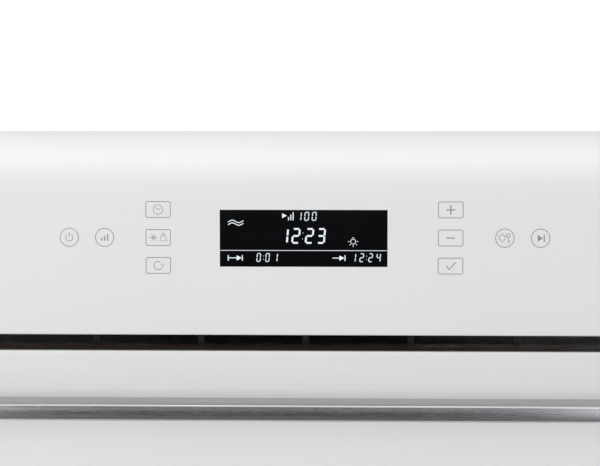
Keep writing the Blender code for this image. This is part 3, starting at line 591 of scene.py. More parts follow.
WHITE = glossy_white("white_back_enamelled_glass", (0.83, 0.835, 0.83))
EDGE = ground_edge()
INK = panel_ink()
FILTER = display_pane()
LIT = display_light()
HANDLE = brushed("satin_aluminium", (0.36, 0.36, 0.37), 0.30, (0.012, 1, 1), 0.00001, 0.20)
# painted shade: the handle's front face is a darker copy of the same brushed aluminium, standing for the dark
# reflection it shows
SHADED_BAR_FACE = brushed("brushed_aluminium_face_painted_shade", (0.21, 0.21, 0.22), 0.26, (0.012, 1, 1), 0.00003, 0.50)
# painted highlight: the handle's bright eased long edges are a lighter copy of the same brushed aluminium
HIGHLIGHT_EDGE = brushed("painted_highlight_edge", (0.80, 0.80, 0.82), 0.20, (0.012, 1, 1), 0.000004, 0.08)
ZINC = spangled_zinc("galvanised_sheet", (0.46, 0.47, 0.48))
STEEL = brushed("ground_stainless", (0.46, 0.455, 0.45), 0.32, (1, 1, 0.05), 0.00001, 0.18)
CHROME = brushed("bright_chromed_wire", (0.62, 0.62, 0.63), 0.18, (1, 1, 1), 0.000004, 0.08)
ENAMEL = speckled_enamel()
SHEATH = heater_sheath()
WOOL = mineral_wool()
BROWN = moulded("dark_brown_moulding", (0.115, 0.084, 0.070), 0.30)
BLACK = moulded("black_moulding", (0.018, 0.018, 0.019), 0.45)
GREY = moulded("grey_moulding", (0.30, 0.31, 0.32), 0.50)
# partly painted shade: black steel made darker than black paint, so the front frame in the slot above the
# door also stands for that slot's deep shadow
SLOT_SHADE_BLACK_STEEL = moulded("black_steel_darkened_as_slot_shade", (0.006, 0.006, 0.0063), 0.45, 0.00004, 700.0)
FRAME_BLACK = brushed("black_anodised_aluminium", (0.035, 0.035, 0.038), 0.42, (0.02, 1, 1), 0.000006, 0.25)
RUBBER = soft_rubber()
BOARD = circuit_board()
CERAMIC = fired_ceramic("fired_ceramic", (0.76, 0.73, 0.68))
CLEAR = door_pane("clear_float_glass", (0.10, 0.12, 0.115), 0.15)
TINTED = door_pane("tinted_window_glass", (0.020, 0.021, 0.023), 0.72)
SCREEN = perforated_screen()

SLOT_LOOKS = {
    "white_glass": WHITE,
    "clear_glass": CLEAR,
    "dark_glass": FILTER,
    "brown_plastic": BROWN,
    "brushed_aluminium": HANDLE,
    "door_frame": FRAME_BLACK,
    "galvanised": ZINC,
    "stainless": STEEL,
    "enamel": ENAMEL,
    "chromed_wire": CHROME,
    "element": SHEATH,
    "wool": WOOL,
    "black_plastic": BLACK,
    "grey_plastic": GREY,
    "rubber": RUBBER,
    "board": BOARD,
    "ceramic": CERAMIC,
    "black_steel": SLOT_SHADE_BLACK_STEEL,
}
for row_part in frame["record"]["subparts"]:
    node = NODES[row_part["node"]]
    node.data.materials.clear()
    node.data.materials.append(SLOT_LOOKS[row_part["material_slot"]])
NODES["door_screen"].data.materials[0] = SCREEN


# ---------------------------------------------------------------- panel and door panes
def bevelled_pane(name, low, high):
    """Glass pane whose polished front edge rounds gently back all round."""
    steps = ((0.0003, 0.00022), (0.0006, 0.00018), (0.0008, 0.00009), (0.0010, 0.00003), (0.0004, 0.0))
    pane = block(name, (low.x, low.y + sum(rise for _, rise in steps), low.z), high)
    for border, rise in steps:
        choose(pane, lambda middle, normal: normal.y < -0.999)
        bpy.ops.mesh.inset(thickness=border)
        bpy.ops.transform.translate(value=(0, -rise, 0))
        done(pane)
    return pane


def edge_faces(pane):
    """Gives the pane's sides and its steepest edge the ground finish; the rest keeps the white one."""
    pane.data.materials.clear()
    pane.data.materials.append(WHITE)
    pane.data.materials.append(EDGE)
    for face in pane.data.polygons:
        face.material_index = 0 if abs(face.normal.y) > 0.9 else 1


def control_pane():
    pane = bevelled_pane("panel_pane", PANEL_LOW, PANEL_HIGH)
    for spot, normal in (
        ((WINDOW_LOW.x, 0, 0), (1, 0, 0)),
        ((WINDOW_HIGH.x, 0, 0), (1, 0, 0)),
        ((0, 0, WINDOW_LOW.z), (0, 0, 1)),
        ((0, 0, WINDOW_HIGH.z), (0, 0, 1)),
    ):
        choose(pane, lambda middle, normal: normal.y < -0.999)
        bpy.ops.mesh.bisect(plane_co=spot, plane_no=normal)
        done(pane)
    edge_faces(pane)
    pane.data.materials.append(FILTER)
    for face in pane.data.polygons:
        x, _, z = face.center
        inside = WINDOW_LOW.x < x < WINDOW_HIGH.x and WINDOW_LOW.z < z < WINDOW_HIGH.z
        if inside and face.normal.y < -0.999:
            face.material_index = 2
    fit_out(pane, "chassis", None, ["control_glass"], 20, True)


# ---------------------------------------------------------------- print and display
def strokes(name, lines, width, detail=1):
    """Thin raised lines on the panel's face; each is a list of (x, z) points and a flag that closes it."""
    radius = width / 2
    pieces = [tube(name, [(x, 0, z) for x, z in points], radius, closed, detail) for points, closed in lines]
    whole = joined(pieces, name)
    whole.scale.y = 2 * PRINT_THICK / width
    whole.location.y = GLASS_FACE
    return settle(whole)


def printed_arrow(name, outline):
    """Filled shape on the panel's face."""
    return plate(name, outline, GLASS_FACE - PRINT_THICK, GLASS_FACE + PRINT_THICK)


def ring(x, z, radius, steps=32):
    return arc((x, z), radius, 0, 360 * (steps - 1) / steps, steps - 1), True


def key_outlines():
    lines = []
    for side in (1, -1):
        for z in KEY_ROWS:
            x = side * RECT_KEY_X
            low, high = (x - KEY_WIDE / 2, z - KEY_TALL / 2), (x + KEY_WIDE / 2, z + KEY_TALL / 2)
            lines.append((rounded(low, high, 0.0008, 4), True))
        lines += [ring(side * x, KEY_ROWS[1], KEY_ROUND, 48) for x in ROUND_KEY_X]
    outline = strokes("key_outlines", lines, PRINT_LINE)
    fit_out(outline, "chassis", INK)


def line(*points):
    return list(points), False


def around(x, z, *points):
    """Points measured from a key's middle, in millimetres."""
    return [(x + 0.001 * dx, z + 0.001 * dz) for dx, dz in points]


def key_symbols():
    """Pictograms only: no letters."""
    left, right = -RECT_KEY_X, RECT_KEY_X
    inner, outer = ROUND_KEY_X
    top, middle, low = KEY_ROWS
    thin, bold = [], []
    # clock
    thin.append(ring(left, top, 0.0027))
    thin.append(line(*around(left, top, (-1.2, 0.9), (0.0, 0.0), (1.5, 0.7))))
    # defrosting by weight: a snow crystal beside a weight
    crystal_x, weight_x = left - 0.0026, left + 0.0030
    for turn in (0, 60, 120):
        a = math.radians(turn)
        arm = (2.1 * math.cos(a), 2.1 * math.sin(a))
        thin.append(line(*around(crystal_x, middle, (-arm[0], -arm[1]), arm)))
    thin.append((around(weight_x, middle, (-2.0, -1.9), (2.0, -1.9), (1.3, 0.9), (-1.3, 0.9)), True))
    thin.append(ring(weight_x, middle + 0.0017, 0.0008, 16))
    # automatic programme: an arrow that runs in a circle
    thin.append((arc((left, low), 0.0024, 60, 360, 20), False))
    thin.append(line(*around(left, low, (1.4, 0.9), (2.5, -0.3), (3.4, 1.0))))
    # more, less, confirm
    bold.append(line(*around(right, top, (-2.6, 0), (2.6, 0))))
    bold.append(line(*around(right, top, (0, -2.6), (0, 2.6))))
    bold.append(line(*around(right, middle, (-2.4, 0), (2.4, 0))))
    bold.append(line(*around(right, low, (-2.5, 0.1), (-0.7, -1.9), (2.7, 2.1))))
    # on and off
    thin.append((arc((-outer, middle), 0.0021, 125, 415, 20), False))
    thin.append(line(*around(-outer, middle, (0, 0.2), (0, 2.7))))
    # power level: three rising bars
    for i, height in enumerate((1.6, 2.7, 3.8)):
        bold.append(line(*around(-inner, middle, (-1.7 + 1.7 * i, -1.9), (-1.7 + 1.7 * i, -1.9 + height))))
    # lamp, and a key for the child lock
    lamp_x, lock_x = inner - 0.0015, inner + 0.0020
    thin.append((arc((lamp_x, middle + 0.0001), 0.0017, -60, 240, 16), False))
    thin.append(line(*around(lamp_x, middle, (-0.8, -2.0), (0.8, -2.0))))
    for turn in (30, 90, 150):
        a = math.radians(turn)
        ray = [(r * math.cos(a), r * math.sin(a)) for r in (2.3, 3.0)]
        thin.append(line(*around(lamp_x, middle, *ray)))
    thin.append(ring(lock_x, middle + 0.0016, 0.0010, 16))
    thin.append(line(*around(lock_x, middle, (0, 0.6), (0, -2.6), (0.9, -2.6))))
    thin.append(line(*around(lock_x, middle, (0, -1.5), (0.8, -1.5))))
    # start and pause
    bold.append(line(*around(outer, middle, (2.0, -2.0), (2.0, 2.0))))
    symbols = strokes("key_symbols", thin, THIN_PRINT)
    heavy = strokes("key_symbols_bold", bold, BOLD_PRINT)
    arrow = printed_arrow("start_arrow", around(outer, middle, (-1.7, -2.0), (1.3, 0.0), (-1.7, 2.0)))
    fit_out(joined([symbols, heavy, arrow], "key_symbols"), "chassis", INK)


SEGMENTS = {
    "a": ((0, 2), (1, 2)),
    "b": ((1, 2), (1, 1)),
    "c": ((1, 1), (1, 0)),
    "d": ((0, 0), (1, 0)),
    "e": ((0, 0), (0, 1)),
    "f": ((0, 1), (0, 2)),
    "g": ((0, 1), (1, 1)),
}
DIGITS = {"0": "abcdef", "1": "bc", "2": "abged", "3": "abgcd", "4": "fgbc"}
LEAN = 0.09
CLOCK_WIDE = 0.0037
COLON_SPREAD = 0.0010


def figure(digit, x, z, wide, tall, gap):
    """The lit segments of one figure that stands at x and z and leans a little."""
    lines = []
    for name in DIGITS[digit]:
        ends = []
        (ax, az), (bx, bz) = SEGMENTS[name]
        length = math.hypot((bx - ax) * wide, (bz - az) * tall / 2)
        trim = gap / length
        for share in (trim, 1 - trim):
            px = (ax + (bx - ax) * share) * wide
            pz = (az + (bz - az) * share) * tall / 2
            ends.append((x + px + pz * LEAN, z + pz))
        lines.append((ends, False))
    return lines


def figures(text, x, z, wide, tall, advance, gap):
    """A row of figures; a colon is two dots between its neighbours and pushes them a little apart."""
    lines, dots = [], []
    for mark in text:
        if mark == ":":
            middle = x - (advance - wide) / 2 + COLON_SPREAD / 2
            spots = [(middle + height * LEAN, z + height) for height in (tall * 0.28, tall * 0.70)]
            dots += [([(px - 0.0001, pz), (px + 0.0001, pz)], False) for px, pz in spots]
            x += COLON_SPREAD * wide / CLOCK_WIDE
        else:
            lines += figure(mark, x, z, wide, tall, gap)
            x += advance
    return lines, dots


ARROW_Z = 0.3833
ARROW_ENDS = (-0.0350, 0.0232)
DIVIDER_Z = 0.38755


def display_figures():
    glyphs = []
    # clock in the middle
    clock, dots = figures("12:23", -0.01343, 0.3919, CLOCK_WIDE, 0.0079, 0.00665, 0.00035)
    glyphs.append(strokes("clock_figures", clock, 0.00115))
    glyphs.append(strokes("clock_colon", dots, 0.0007, 2))
    # power level above it, cooking time and end time below it
    small = []
    small_dots = []
    for text, x, z, wide, tall, advance in (
        ("100", -0.0040, 0.4047, 0.0021, 0.0045, 0.00425),
        ("0:01", -0.02686, 0.3813, 0.0019, 0.0045, 0.0045),
        ("12:24", 0.0270, 0.3813, 0.0019, 0.0045, 0.0045),
    ):
        lines, dots = figures(text, x, z, wide, tall, advance, 0.0002)
        small += lines
        small_dots += dots
    # microwave sign: two waves of a little more than one period
    for z in (0.4028, 0.4043):
        points = [(-0.0431 + 0.0003 * i, z - 0.0003 + 0.0007 * math.sin(0.26 * i - 0.6)) for i in range(30)]
        small.append((points, False))
    # level bars beside the pointer
    for i, height in enumerate((0.0018, 0.0032, 0.0046)):
        x = -0.0088 + 0.0013 * i
        small.append(([(x, 0.4047), (x, 0.4047 + height)], False))
    # cooking time: from line to line; end time: up to the line
    for start, end in ((-0.0428, ARROW_ENDS[0]), (0.0160, ARROW_ENDS[1])):
        small.append(([(start, ARROW_Z), (end - 0.0030, ARROW_Z)], False))
        small.append(([(end, ARROW_Z - 0.0016), (end, ARROW_Z + 0.0016)], False))
    small.append(([(-0.0430, ARROW_Z - 0.0016), (-0.0430, ARROW_Z + 0.0016)], False))
    glyphs.append(strokes("small_figures", small, 0.00055))
    glyphs.append(strokes("small_colons", small_dots, 0.0006, 2))
    # lamp sign: globe, cap and rays
    lamp_x, lamp_z = 0.0278, 0.3927
    lamp = [(arc((lamp_x, lamp_z), 0.0014, 0, 345, 20), True)]
    lamp.append(([(lamp_x - 0.0006, lamp_z + 0.0021), (lamp_x + 0.0006, lamp_z + 0.0021)], False))
    for turn in (0, 180, 225, 270, 315):
        a = math.radians(turn)
        lamp.append(([(lamp_x + r * math.cos(a), lamp_z + r * math.sin(a)) for r in (0.0021, 0.0029)], False))
    glyphs.append(strokes("lamp_sign", lamp, 0.00038))
    across = [(WINDOW_LOW.x + 0.0003, DIVIDER_Z), (WINDOW_HIGH.x - 0.0003, DIVIDER_Z)]
    glyphs.append(strokes("divider", [(across, False)], 0.00036))
    # arrow heads
    heads = [(-0.0124, 0.4073, 0.0014)] + [(end - 0.0032, ARROW_Z, 0.0015) for end in ARROW_ENDS]
    for x, z, size in heads:
        glyphs.append(printed_arrow("pointer", [(x, z - size), (x + 1.9 * size, z), (x, z + size)]))
    fit_out(joined(glyphs, "display_figures"), "chassis", LIT)


# ---------------------------------------------------------------- door
POST_X = 0.2845
STUD_HOLE, STUD = 0.0035, 0.0029
CLEAR_OF = 0.01  # how far a cutter stands out of what it cuts
SIGHT_LOW, SIGHT_HIGH, SIGHT_CORNER = (-0.196, 0.066), (0.196, 0.252), 0.010


def door_front_pane():
    """White pane with a tinted window below the handle, and a hole at each end for the handle's stud."""
    pane = bevelled_pane("door_front_pane", DOOR_LOW, DOOR_HIGH)
    back = DOOR_HIGH.y
    bar_mid = (BAR_LOW.z + BAR_HIGH.z) / 2
    outline = rounded(SIGHT_LOW, SIGHT_HIGH, SIGHT_CORNER, 8)
    window = plate("window_cutter", outline, GLASS_FACE - CLEAR_OF, back + CLEAR_OF)
    holes = [
        bar("hole", (x, GLASS_FACE - CLEAR_OF, bar_mid), (x, back + CLEAR_OF, bar_mid), STUD_HOLE)
        for x in (POST_X, -POST_X)
    ]
    cut(pane, [window, *holes])
    edge_faces(pane)
    sight = plate("sight_glass", outline, GLASS_FACE, back)
    sight.data.materials.append(TINTED)
    whole = joined([pane, sight], "door_front_pane")
    fit_out(whole, "door", None, ["door_outer_glass"], 20, True)


def handle():
    """Flat bar with eased edges, and its two posts."""
    grip = block("handle_grip", BAR_LOW, BAR_HIGH)
    round_edges(grip, "X", 0.0008, 3)
    set_in(grip, lambda middle, normal: abs(normal.x) > 0.9, 0.0007)
    soften(grip, 0.0003, 2, 60)
    fit_out(grip, "door", HANDLE, ["handle_bar"], 30, True)
    grip.data.materials.append(HIGHLIGHT_EDGE)
    grip.data.materials.append(SHADED_BAR_FACE)
    for face in grip.data.polygons:  # the eased long edges get a painted highlight (a brighter copy of the aluminium), the front a painted shade (a darker copy)
        if face.normal.y < -0.98:
            face.material_index = 2
        elif abs(face.normal.x) < 0.1 and max(abs(face.normal.y), abs(face.normal.z)) < 0.98:
            face.material_index = 1
    for side, name in ((1, "right"), (-1, "left")):
        handle_foot(side, name)


def handle_foot(side, name):
    """Post of the handle, with a thin collar against the glass and the stud that goes through it."""
    collar_deep, collar_out = 0.0015, 0.0004
    low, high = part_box("handle_post_" + name)
    mid, back = (low.z + high.z) / 2, GLASS_FACE - 0.0003
    foot = block("handle_foot_" + name, low, (high.x, back - collar_deep, high.z))
    round_edges(foot, "Y", 0.0022, 4)
    collar = block(
        "collar",
        (low.x - collar_out, back - collar_deep, low.z - collar_out),
        (high.x + collar_out, back, high.z + collar_out),
    )
    round_edges(collar, "Y", 0.0025, 4)
    stud = bar("stud", (side * POST_X, back - 0.001, mid), (side * POST_X, high.y, mid), STUD)
    cut(foot, [collar, stud], "UNION")
    soften(foot, 0.0002, 2, 50)
    fit_out(foot, "door", HANDLE, ["handle_post_" + name], 30)


def door_cap():
    """Dark moulding on the door's top edge: a rounded rear step and a row of shallow air notches."""
    low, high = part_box("door_top_cap")
    step_y = CABINET - 0.0030
    wide, narrow = high.x, 0.262
    front = block("cap", low, (wide, step_y, high.z))
    back = block("cap_back", (-narrow, step_y - 0.0005, low.z), (narrow, high.y, high.z))
    cut(front, [back], "UNION")
    notches, pitch, notch_half = 26, 0.0196, 0.0045
    first = -pitch * (notches - 1) / 2
    notch = block(
        "notch",
        (first - notch_half, high.y - 0.0035, high.z - 0.0030),
        (first + notch_half, high.y + 0.001, high.z + 0.001),
    )
    row(notch, notches, (pitch, 0, 0))
    cut(front, [notch])
    soften(front, 0.0008, 3, 50)
    fit_out(front, "door", BROWN, ["door_top_cap"], 30, True)


# ---------------------------------------------------------------- setting
def setting():
    eye, target = Vector((0.0252, -1.20125, 0.4606)), Vector((-0.0023, GLASS_FACE, 0.3975))
    lens = bpy.data.cameras.new("camera")
    lens.lens, lens.sensor_width = 101.0, 36.0
    lens.clip_start, lens.clip_end = 0.01, 50
    camera = bpy.data.objects.new("camera", lens)
    camera.location = eye
    camera.rotation_euler = (target - eye).to_track_quat("-Z", "Y").to_euler()
    bpy.context.scene.collection.objects.link(camera)
    bpy.context.scene.camera = camera
    bpy.context.scene.view_settings.view_transform = "Standard"

    floor_z = -0.100
    fresh()
    bpy.ops.mesh.primitive_circle_add(
        vertices=96, radius=FLOOR_EDGE, fill_type="NGON", location=(0, FLOOR_MIDDLE, floor_z)
    )
    floor = settle(bpy.context.object)
    floor.name = "studio_floor"
    plinth = block("studio_plinth", (-0.2675, CABINET + 0.020, floor_z), (0.2675, 0.290, -0.0003))
    soften(plinth, 0.004, 3)
    paper = Look("studio_paper", (0.72, 0.72, 0.72), 0.8)
    paper.feed("Base Color", paper.between(paper.noise(2.0, 3.0), (0.69, 0.69, 0.69), (0.74, 0.74, 0.74)))
    faded = Look("studio_floor", (0.72, 0.72, 0.72), 0.8)
    across, away = faded.along("X"), faded.along("Y") - FLOOR_MIDDLE
    clear = (FLOOR_EDGE ** 2 - (across * across + away * away)) / (FLOOR_EDGE ** 2 - FLOOR_FULL ** 2)
    faded.feed("Alpha", clear)
    for stand, look in ((floor, faded), (plinth, paper)):
        stand.data.materials.append(look.material)

    for name, place, aim, size, power, colour in LIGHTS:
        lamp = bpy.data.lights.new(name, "AREA")
        lamp.shape, lamp.size, lamp.size_y = "RECTANGLE", *size
        lamp.energy, lamp.color = power, colour
        light = bpy.data.objects.new(name, lamp)
        light.location = place
        light.rotation_euler = (Vector(aim) - Vector(place)).to_track_quat("-Z", "Y").to_euler()
        bpy.context.scene.collection.objects.link(light)

    world = bpy.data.worlds.new("studio")
    bpy.context.scene.world = world
    world.use_nodes = True
    tree = world.node_tree
    tree.nodes.clear()
    rays = tree.nodes.new("ShaderNodeLightPath")
    way = tree.nodes.new("ShaderNodeTexCoord")
    split = tree.nodes.new("ShaderNodeSeparateXYZ")
    height = tree.nodes.new("ShaderNodeMapRange")
    height.inputs["From Min"].default_value = -WORLD_REACH
    height.inputs["From Max"].default_value = WORLD_REACH
    ramp = tree.nodes.new("ShaderNodeValToRGB")
    stops = ramp.color_ramp.elements
    for slope, _ in WORLD_STOPS[1:-1]:
        stops.new((slope / WORLD_REACH + 1) / 2)
    for stop, (_, level) in zip(stops, WORLD_STOPS):
        stop.color = (level, level, level, 1)
    room = tree.nodes.new("ShaderNodeBackground")
    seen = tree.nodes.new("ShaderNodeBackground")
    seen.inputs["Color"].default_value = (1, 1, 1, 1)
    seen.inputs["Strength"].default_value = 1.05
    mixed = tree.nodes.new("ShaderNodeMixShader")
    out = tree.nodes.new("ShaderNodeOutputWorld")
    room.inputs["Strength"].default_value = ROOM_STRENGTH
    tree.links.new(way.outputs["Generated"], split.inputs[0])
    tree.links.new(split.outputs["Z"], height.inputs["Value"])
    tree.links.new(height.outputs["Result"], ramp.inputs["Fac"])
    tree.links.new(ramp.outputs["Color"], room.inputs["Color"])
    tree.links.new(rays.outputs["Is Camera Ray"], mixed.inputs["Fac"])
    tree.links.new(room.outputs["Background"], mixed.inputs[1])
    tree.links.new(seen.outputs["Background"], mixed.inputs[2])
    tree.links.new(mixed.outputs["Shader"], out.inputs["Surface"])


FLOOR_MIDDLE, FLOOR_FULL, FLOOR_EDGE = 1.9, 3.0, 3.8
WHITE_LIGHT = (1, 1, 1)
LIGHTS = [
    ("softbox_left", (-2.1, -2.3, 0.45), (0, -0.25, 0.34), (1.4, 1.6), 36, (1.0, 0.99, 0.985)),
    ("softbox_right", (1.3, -2.6, 0.20), (0, -0.25, 0.34), (0.5, 1.2), 8, (0.97, 0.985, 1.0)),
    ("softbox_top", (0.0, 0.4, 2.4), (0, 0.1, 0.3), (1.8, 1.8), 12, WHITE_LIGHT),
    ("softbox_back", (0.6, 2.8, 1.6), (0, 0.1, 0.25), (1.8, 1.4), 40, WHITE_LIGHT),
]
# slope of the direction looked in, and how bright the room is there: a bright strip just under the horizon
WORLD_STOPS = [
    (-0.25, 0.030), (-0.10, 0.025), (-0.055, 0.02), (-0.041, 0.035), (-0.034, 0.11),
    (-0.027, 0.34), (-0.020, 0.78), (-0.0125, 1.05), (-0.0075, 0.62), (-0.004, 0.46),
    (0.002, 0.42), (0.010, 0.15), (0.03, 0.12), (0.25, 0.14),
]
WORLD_REACH = 0.25
ROOM_STRENGTH = 4.6


# ---------------------------------------------------------------- oven cavity
CAVITY_FLOOR, CAVITY_ROOF = 0.062, 0.290
LEVELS = [0.092 + 0.052 * i for i in range(4)]


def at(y):
    """A depth behind the cabinet's front plane, in the frame's own coordinates."""
    return CABINET + y


def screw_head(name, spot, face, radius=0.0036, deep=0.0016):
    """Low round head with a cross recess, lying on a face that looks along the given direction."""
    spot, face = Vector(spot), Vector(face)
    head = bar(name, (0, 0, 0), (0, 0, deep), radius, 20)
    set_in(head, lambda middle, normal: normal.z > 0.9, radius * 0.28, (0, 0, deep * 0.35))
    long, short = radius * 0.55, radius * 0.11
    arms = ((long, short), (short, long))
    cut(head, [block("slot", (-a, -b, deep * 0.55), (a, b, deep * 2)) for a, b in arms])
    head.data.transform(Matrix.Translation(spot) @ face.to_track_quat("Z", "Y").to_matrix().to_4x4())
    return head


def screws(name, spots, face, body, radius=0.0036, look=None):
    """The same screw head at each spot."""
    pattern = screw_head(name, (0, 0, 0), face, radius)
    heads = [twin(pattern, name, spot) for spot in spots]
    bpy.data.objects.remove(pattern)
    return fit_out(joined(heads, name), body, look or STEEL)


def wire_rack_piece():
    """Bent border wire with a raised stop at the back, two cross wires and thirteen long wires on top."""
    low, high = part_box("wire_rack")
    level, half, thick = LEVELS[2], 0.207, 0.0025
    front, back = low.y + thick, high.y - thick
    corner = 0.012
    border = [(x, y, level) for x, y in (
        point for middle, turn in (
            ((half - corner, front + corner), -90), ((half - corner, back - corner), 0),
            ((-half + corner, back - corner), 90), ((-half + corner, front + corner), 180),
        ) for point in arc(middle, corner, turn, turn + 90, 8))]
    wires = [tube("border", border, thick, True)]
    for share in (0.30, 0.70):
        y = front + (back - front) * share
        wires.append(bar("cross", (-half, y, level), (half, y, level), 0.0020, 12))
    over = level + 0.0028
    for i in range(13):
        x = -0.180 + 0.030 * i
        ends = [(front, level - 0.0004), (front + 0.004, over), (back - 0.004, over), (back, level - 0.0004)]
        wires.append(tube("grid", bent([(x, y, z) for y, z in ends], 0.0015, 3), 0.00125, detail=2))
    stop_half, stop_top = 0.150, level + 0.0032
    stop = [(-stop_half, back, level), (-stop_half, back - 0.004, stop_top)]
    stop += [(-x, y, z) for x, y, z in reversed(stop)]
    wires.append(tube("stop", bent(stop, 0.0015, 3), 0.0016, detail=2))
    fit_out(joined(wires, "grill_grid"), "rack", CHROME, ["wire_rack"])


def side_rack_piece():
    """Ladder of wire rails with closed, rounded ends on two posts that hook into the wall."""
    low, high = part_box("side_rack_right")
    rail_x, post_x, radius = 0.2080, 0.2120, 0.0022
    front, back = low.y, high.y
    wires = []
    for z in LEVELS:
        bottom, top = z - 0.0050, z + 0.0075
        middle = (bottom + top) / 2
        half = (top - bottom) / 2
        loop = [(rail_x, y, h) for y, h in arc((front + radius + half, middle), half, 270, 90, 8)]
        loop += [(rail_x, y, h) for y, h in arc((back - radius - half, middle), half, 90, -90, 8)]
        wires.append(tube("rail", loop, radius, True))
    for y in (at(0.062), at(0.340)):
        hook = bent([(0.2193, y, 0.085), (post_x, y, 0.078), (post_x, y, 0.268), (0.2193, y, 0.262)], 0.005)
        wires.append(tube("post", hook, radius))
        for z in (0.085, 0.262):
            wires.append(bar("bush", (0.2170, y, z), (0.2197, y, z), 0.0052, 16))
    right = joined(wires, "shelf_ladder_right")
    left = mirrored(right, "shelf_ladder_left")
    fit_out(right, "chassis", CHROME, ["side_rack_right"])
    fit_out(left, "chassis", CHROME, ["side_rack_left"])


def baking_tray_piece():
    """Pressed tray: sloping walls, rounded corners and a flat rim."""
    low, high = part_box("bake_tray")
    wide, front, back = high.x, low.y, high.y
    rim, slope = 0.0125, 0.004
    down = (0, 0, low.z - high.z + 0.0012)
    pan = block("roasting_tray", (-wide, front, high.z - 0.0014), (wide, back, high.z))
    half_deep = (back - front) / 2
    shrink = ((wide - rim - slope) / (wide - rim), (half_deep - rim - slope) / (half_deep - rim), 1)
    for side, border in ((1, rim), (-1, rim - 0.0012)):
        choose(pan, lambda middle, normal: normal.z * side > 0.9)
        bpy.ops.mesh.inset(thickness=border)
        bpy.ops.mesh.extrude_region_move(TRANSFORM_OT_translate={"value": down})
        bpy.ops.transform.resize(value=shrink, center_override=(0, (front + back) / 2, 0))
        done(pan)
    choose(pan, lambda middle, along: abs(along.z) > 0.8 or max(abs(along.x), abs(along.y)) < 0.2, "EDGE")
    bpy.ops.mesh.bevel(offset=0.010, segments=5, affect="EDGES")
    done(pan)
    soften(pan, 0.0005, 2, 50)
    fit_out(pan, "tray", ENAMEL, ["bake_tray"])


def fan_cover():
    """Pressed cover in front of the fan: soft edges, rings of round holes, side louvres and four screws."""
    low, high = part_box("fan_baffle")
    middle = (low.z + high.z) / 2
    cover = block("fan_cover", low, high)
    round_edges(cover, "Y", 0.020, 6)
    set_in(cover, lambda mid, normal: normal.y < -0.9, 0.005)
    open_up(cover, lambda mid, normal: normal.y > 0.9)
    soften(cover, 0.003, 3, 60)
    step(cover, "SOLIDIFY", thickness=0.0010, offset=-1)
    tools = []
    for lap in range(5):  # a hole in the middle, then rings of 6, 12, 18 and 24
        count, radius, hole = max(6 * lap, 1), 0.015 * lap, 0.0042 if lap else 0.004
        for i in range(count):
            a = 2 * math.pi * i / count
            x, z = radius * math.cos(a), middle + radius * math.sin(a)
            tools.append(bar("hole", (x, low.y - 0.004, z), (x, low.y + 0.006, z), hole, 12))
    for side in (1, -1):
        for z in (0.104, 0.128, 0.152, 0.192, 0.216, 0.240):
            ends = sorted((side * (high.x - 0.004), side * (high.x + 0.004)))
            tools.append(block("vent", (ends[0], low.y + 0.010, z), (ends[1], low.y + 0.034, z + 0.010)))
    cut(cover, tools)
    fit_out(cover, "chassis", ENAMEL, ["fan_baffle"], 40)
    spots = [(x, low.y, z) for x in (-0.128, 0.128) for z in (low.z + 0.018, high.z - 0.018)]
    screws("fan_cover_screws", spots, (0, -1, 0), "chassis", 0.0042)


def seal():
    """Round silicone seal in the mouth of the cavity, with a thin lip behind it."""
    low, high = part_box("door_gasket")
    thick = (high.y - low.y) / 2
    y, inset = high.y - thick, 0.006
    outline = rounded((low.x + inset, low.z + inset), (high.x - inset, high.z - inset), 0.014, 10)
    hose = tube("door_seal", [(x, y, z) for x, z in outline], thick, True, 4)
    edge, lip_thick = 0.002, 0.0007
    foot = rounded((low.x + edge, low.z + edge), (high.x - edge, high.z - edge), 0.016, 10)
    lip = tube("lip", [(x, high.y - lip_thick, z) for x, z in foot], lip_thick, True, 2)
    fit_out(joined([hose, lip], "door_seal"), "chassis", RUBBER, ["door_gasket"])


def lamp_glass():
    """Lamp glass with a gently domed face."""
    low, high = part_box("lamp_lens")
    middle = (low + high) / 2
    radius = (high.x - low.x) / 2

    def is_face(mid, normal):
        return normal.z < -0.95 and (mid - middle).xy.length < 0.0002

    glass = bar("lamp_glass", (middle.x, middle.y, high.z), (middle.x, middle.y, low.z + 0.0008), radius, 48)
    for inset, drop in ((0.005, 0.0), (0.003, 0.0004), (0.006, 0.0003), (0.006, 0.0001)):
        set_in(glass, is_face, inset, (0, 0, -drop))
    fit_out(glass, "chassis", CLEAR, ["lamp_lens"])


def stirrer_dome():
    """Shallow moulded cover under the wave stirrer, with a rounded edge."""
    low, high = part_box("stirrer_cover")
    middle, radius = (low + high) / 2, (high.x - low.x) / 2
    dome = bar("stirrer_dome", (middle.x, middle.y, high.z), (middle.x, middle.y, low.z), radius, 64)
    open_up(dome, lambda mid, normal: normal.z > 0.9)
    choose(dome, lambda mid, along: abs(mid.z - low.z) < 0.0001, "EDGE")
    bpy.ops.mesh.bevel(offset=0.007, segments=5, affect="EDGES")
    done(dome)
    step(dome, "SOLIDIFY", thickness=0.0018, offset=-1)
    fit_out(dome, "chassis", CERAMIC, ["stirrer_cover"])


def cavity_ribs():
    """Long pressed ribs across the cavity's roof and floor."""
    ribs = []
    for z, sign in ((CAVITY_FLOOR, 1), (CAVITY_ROOF, -1)):
        for y in (0.075, 0.150) if sign < 0 else (0.090, 0.200, 0.310):
            wide = 0.150
            rib = bar("rib", (-wide, at(y), z), (wide, at(y), z), 0.0042, 20)
            choose(rib, lambda mid, along: abs(abs(mid.x) - wide) < 0.0001, "EDGE")
            bpy.ops.mesh.bevel(offset=0.0022, segments=3, affect="EDGES")
            done(rib)
            ribs.append(flatten(rib, (0, at(y), z), (1, 2.0, 0.42)))
    fit_out(joined(ribs, "cavity_ribs"), "chassis", ENAMEL)


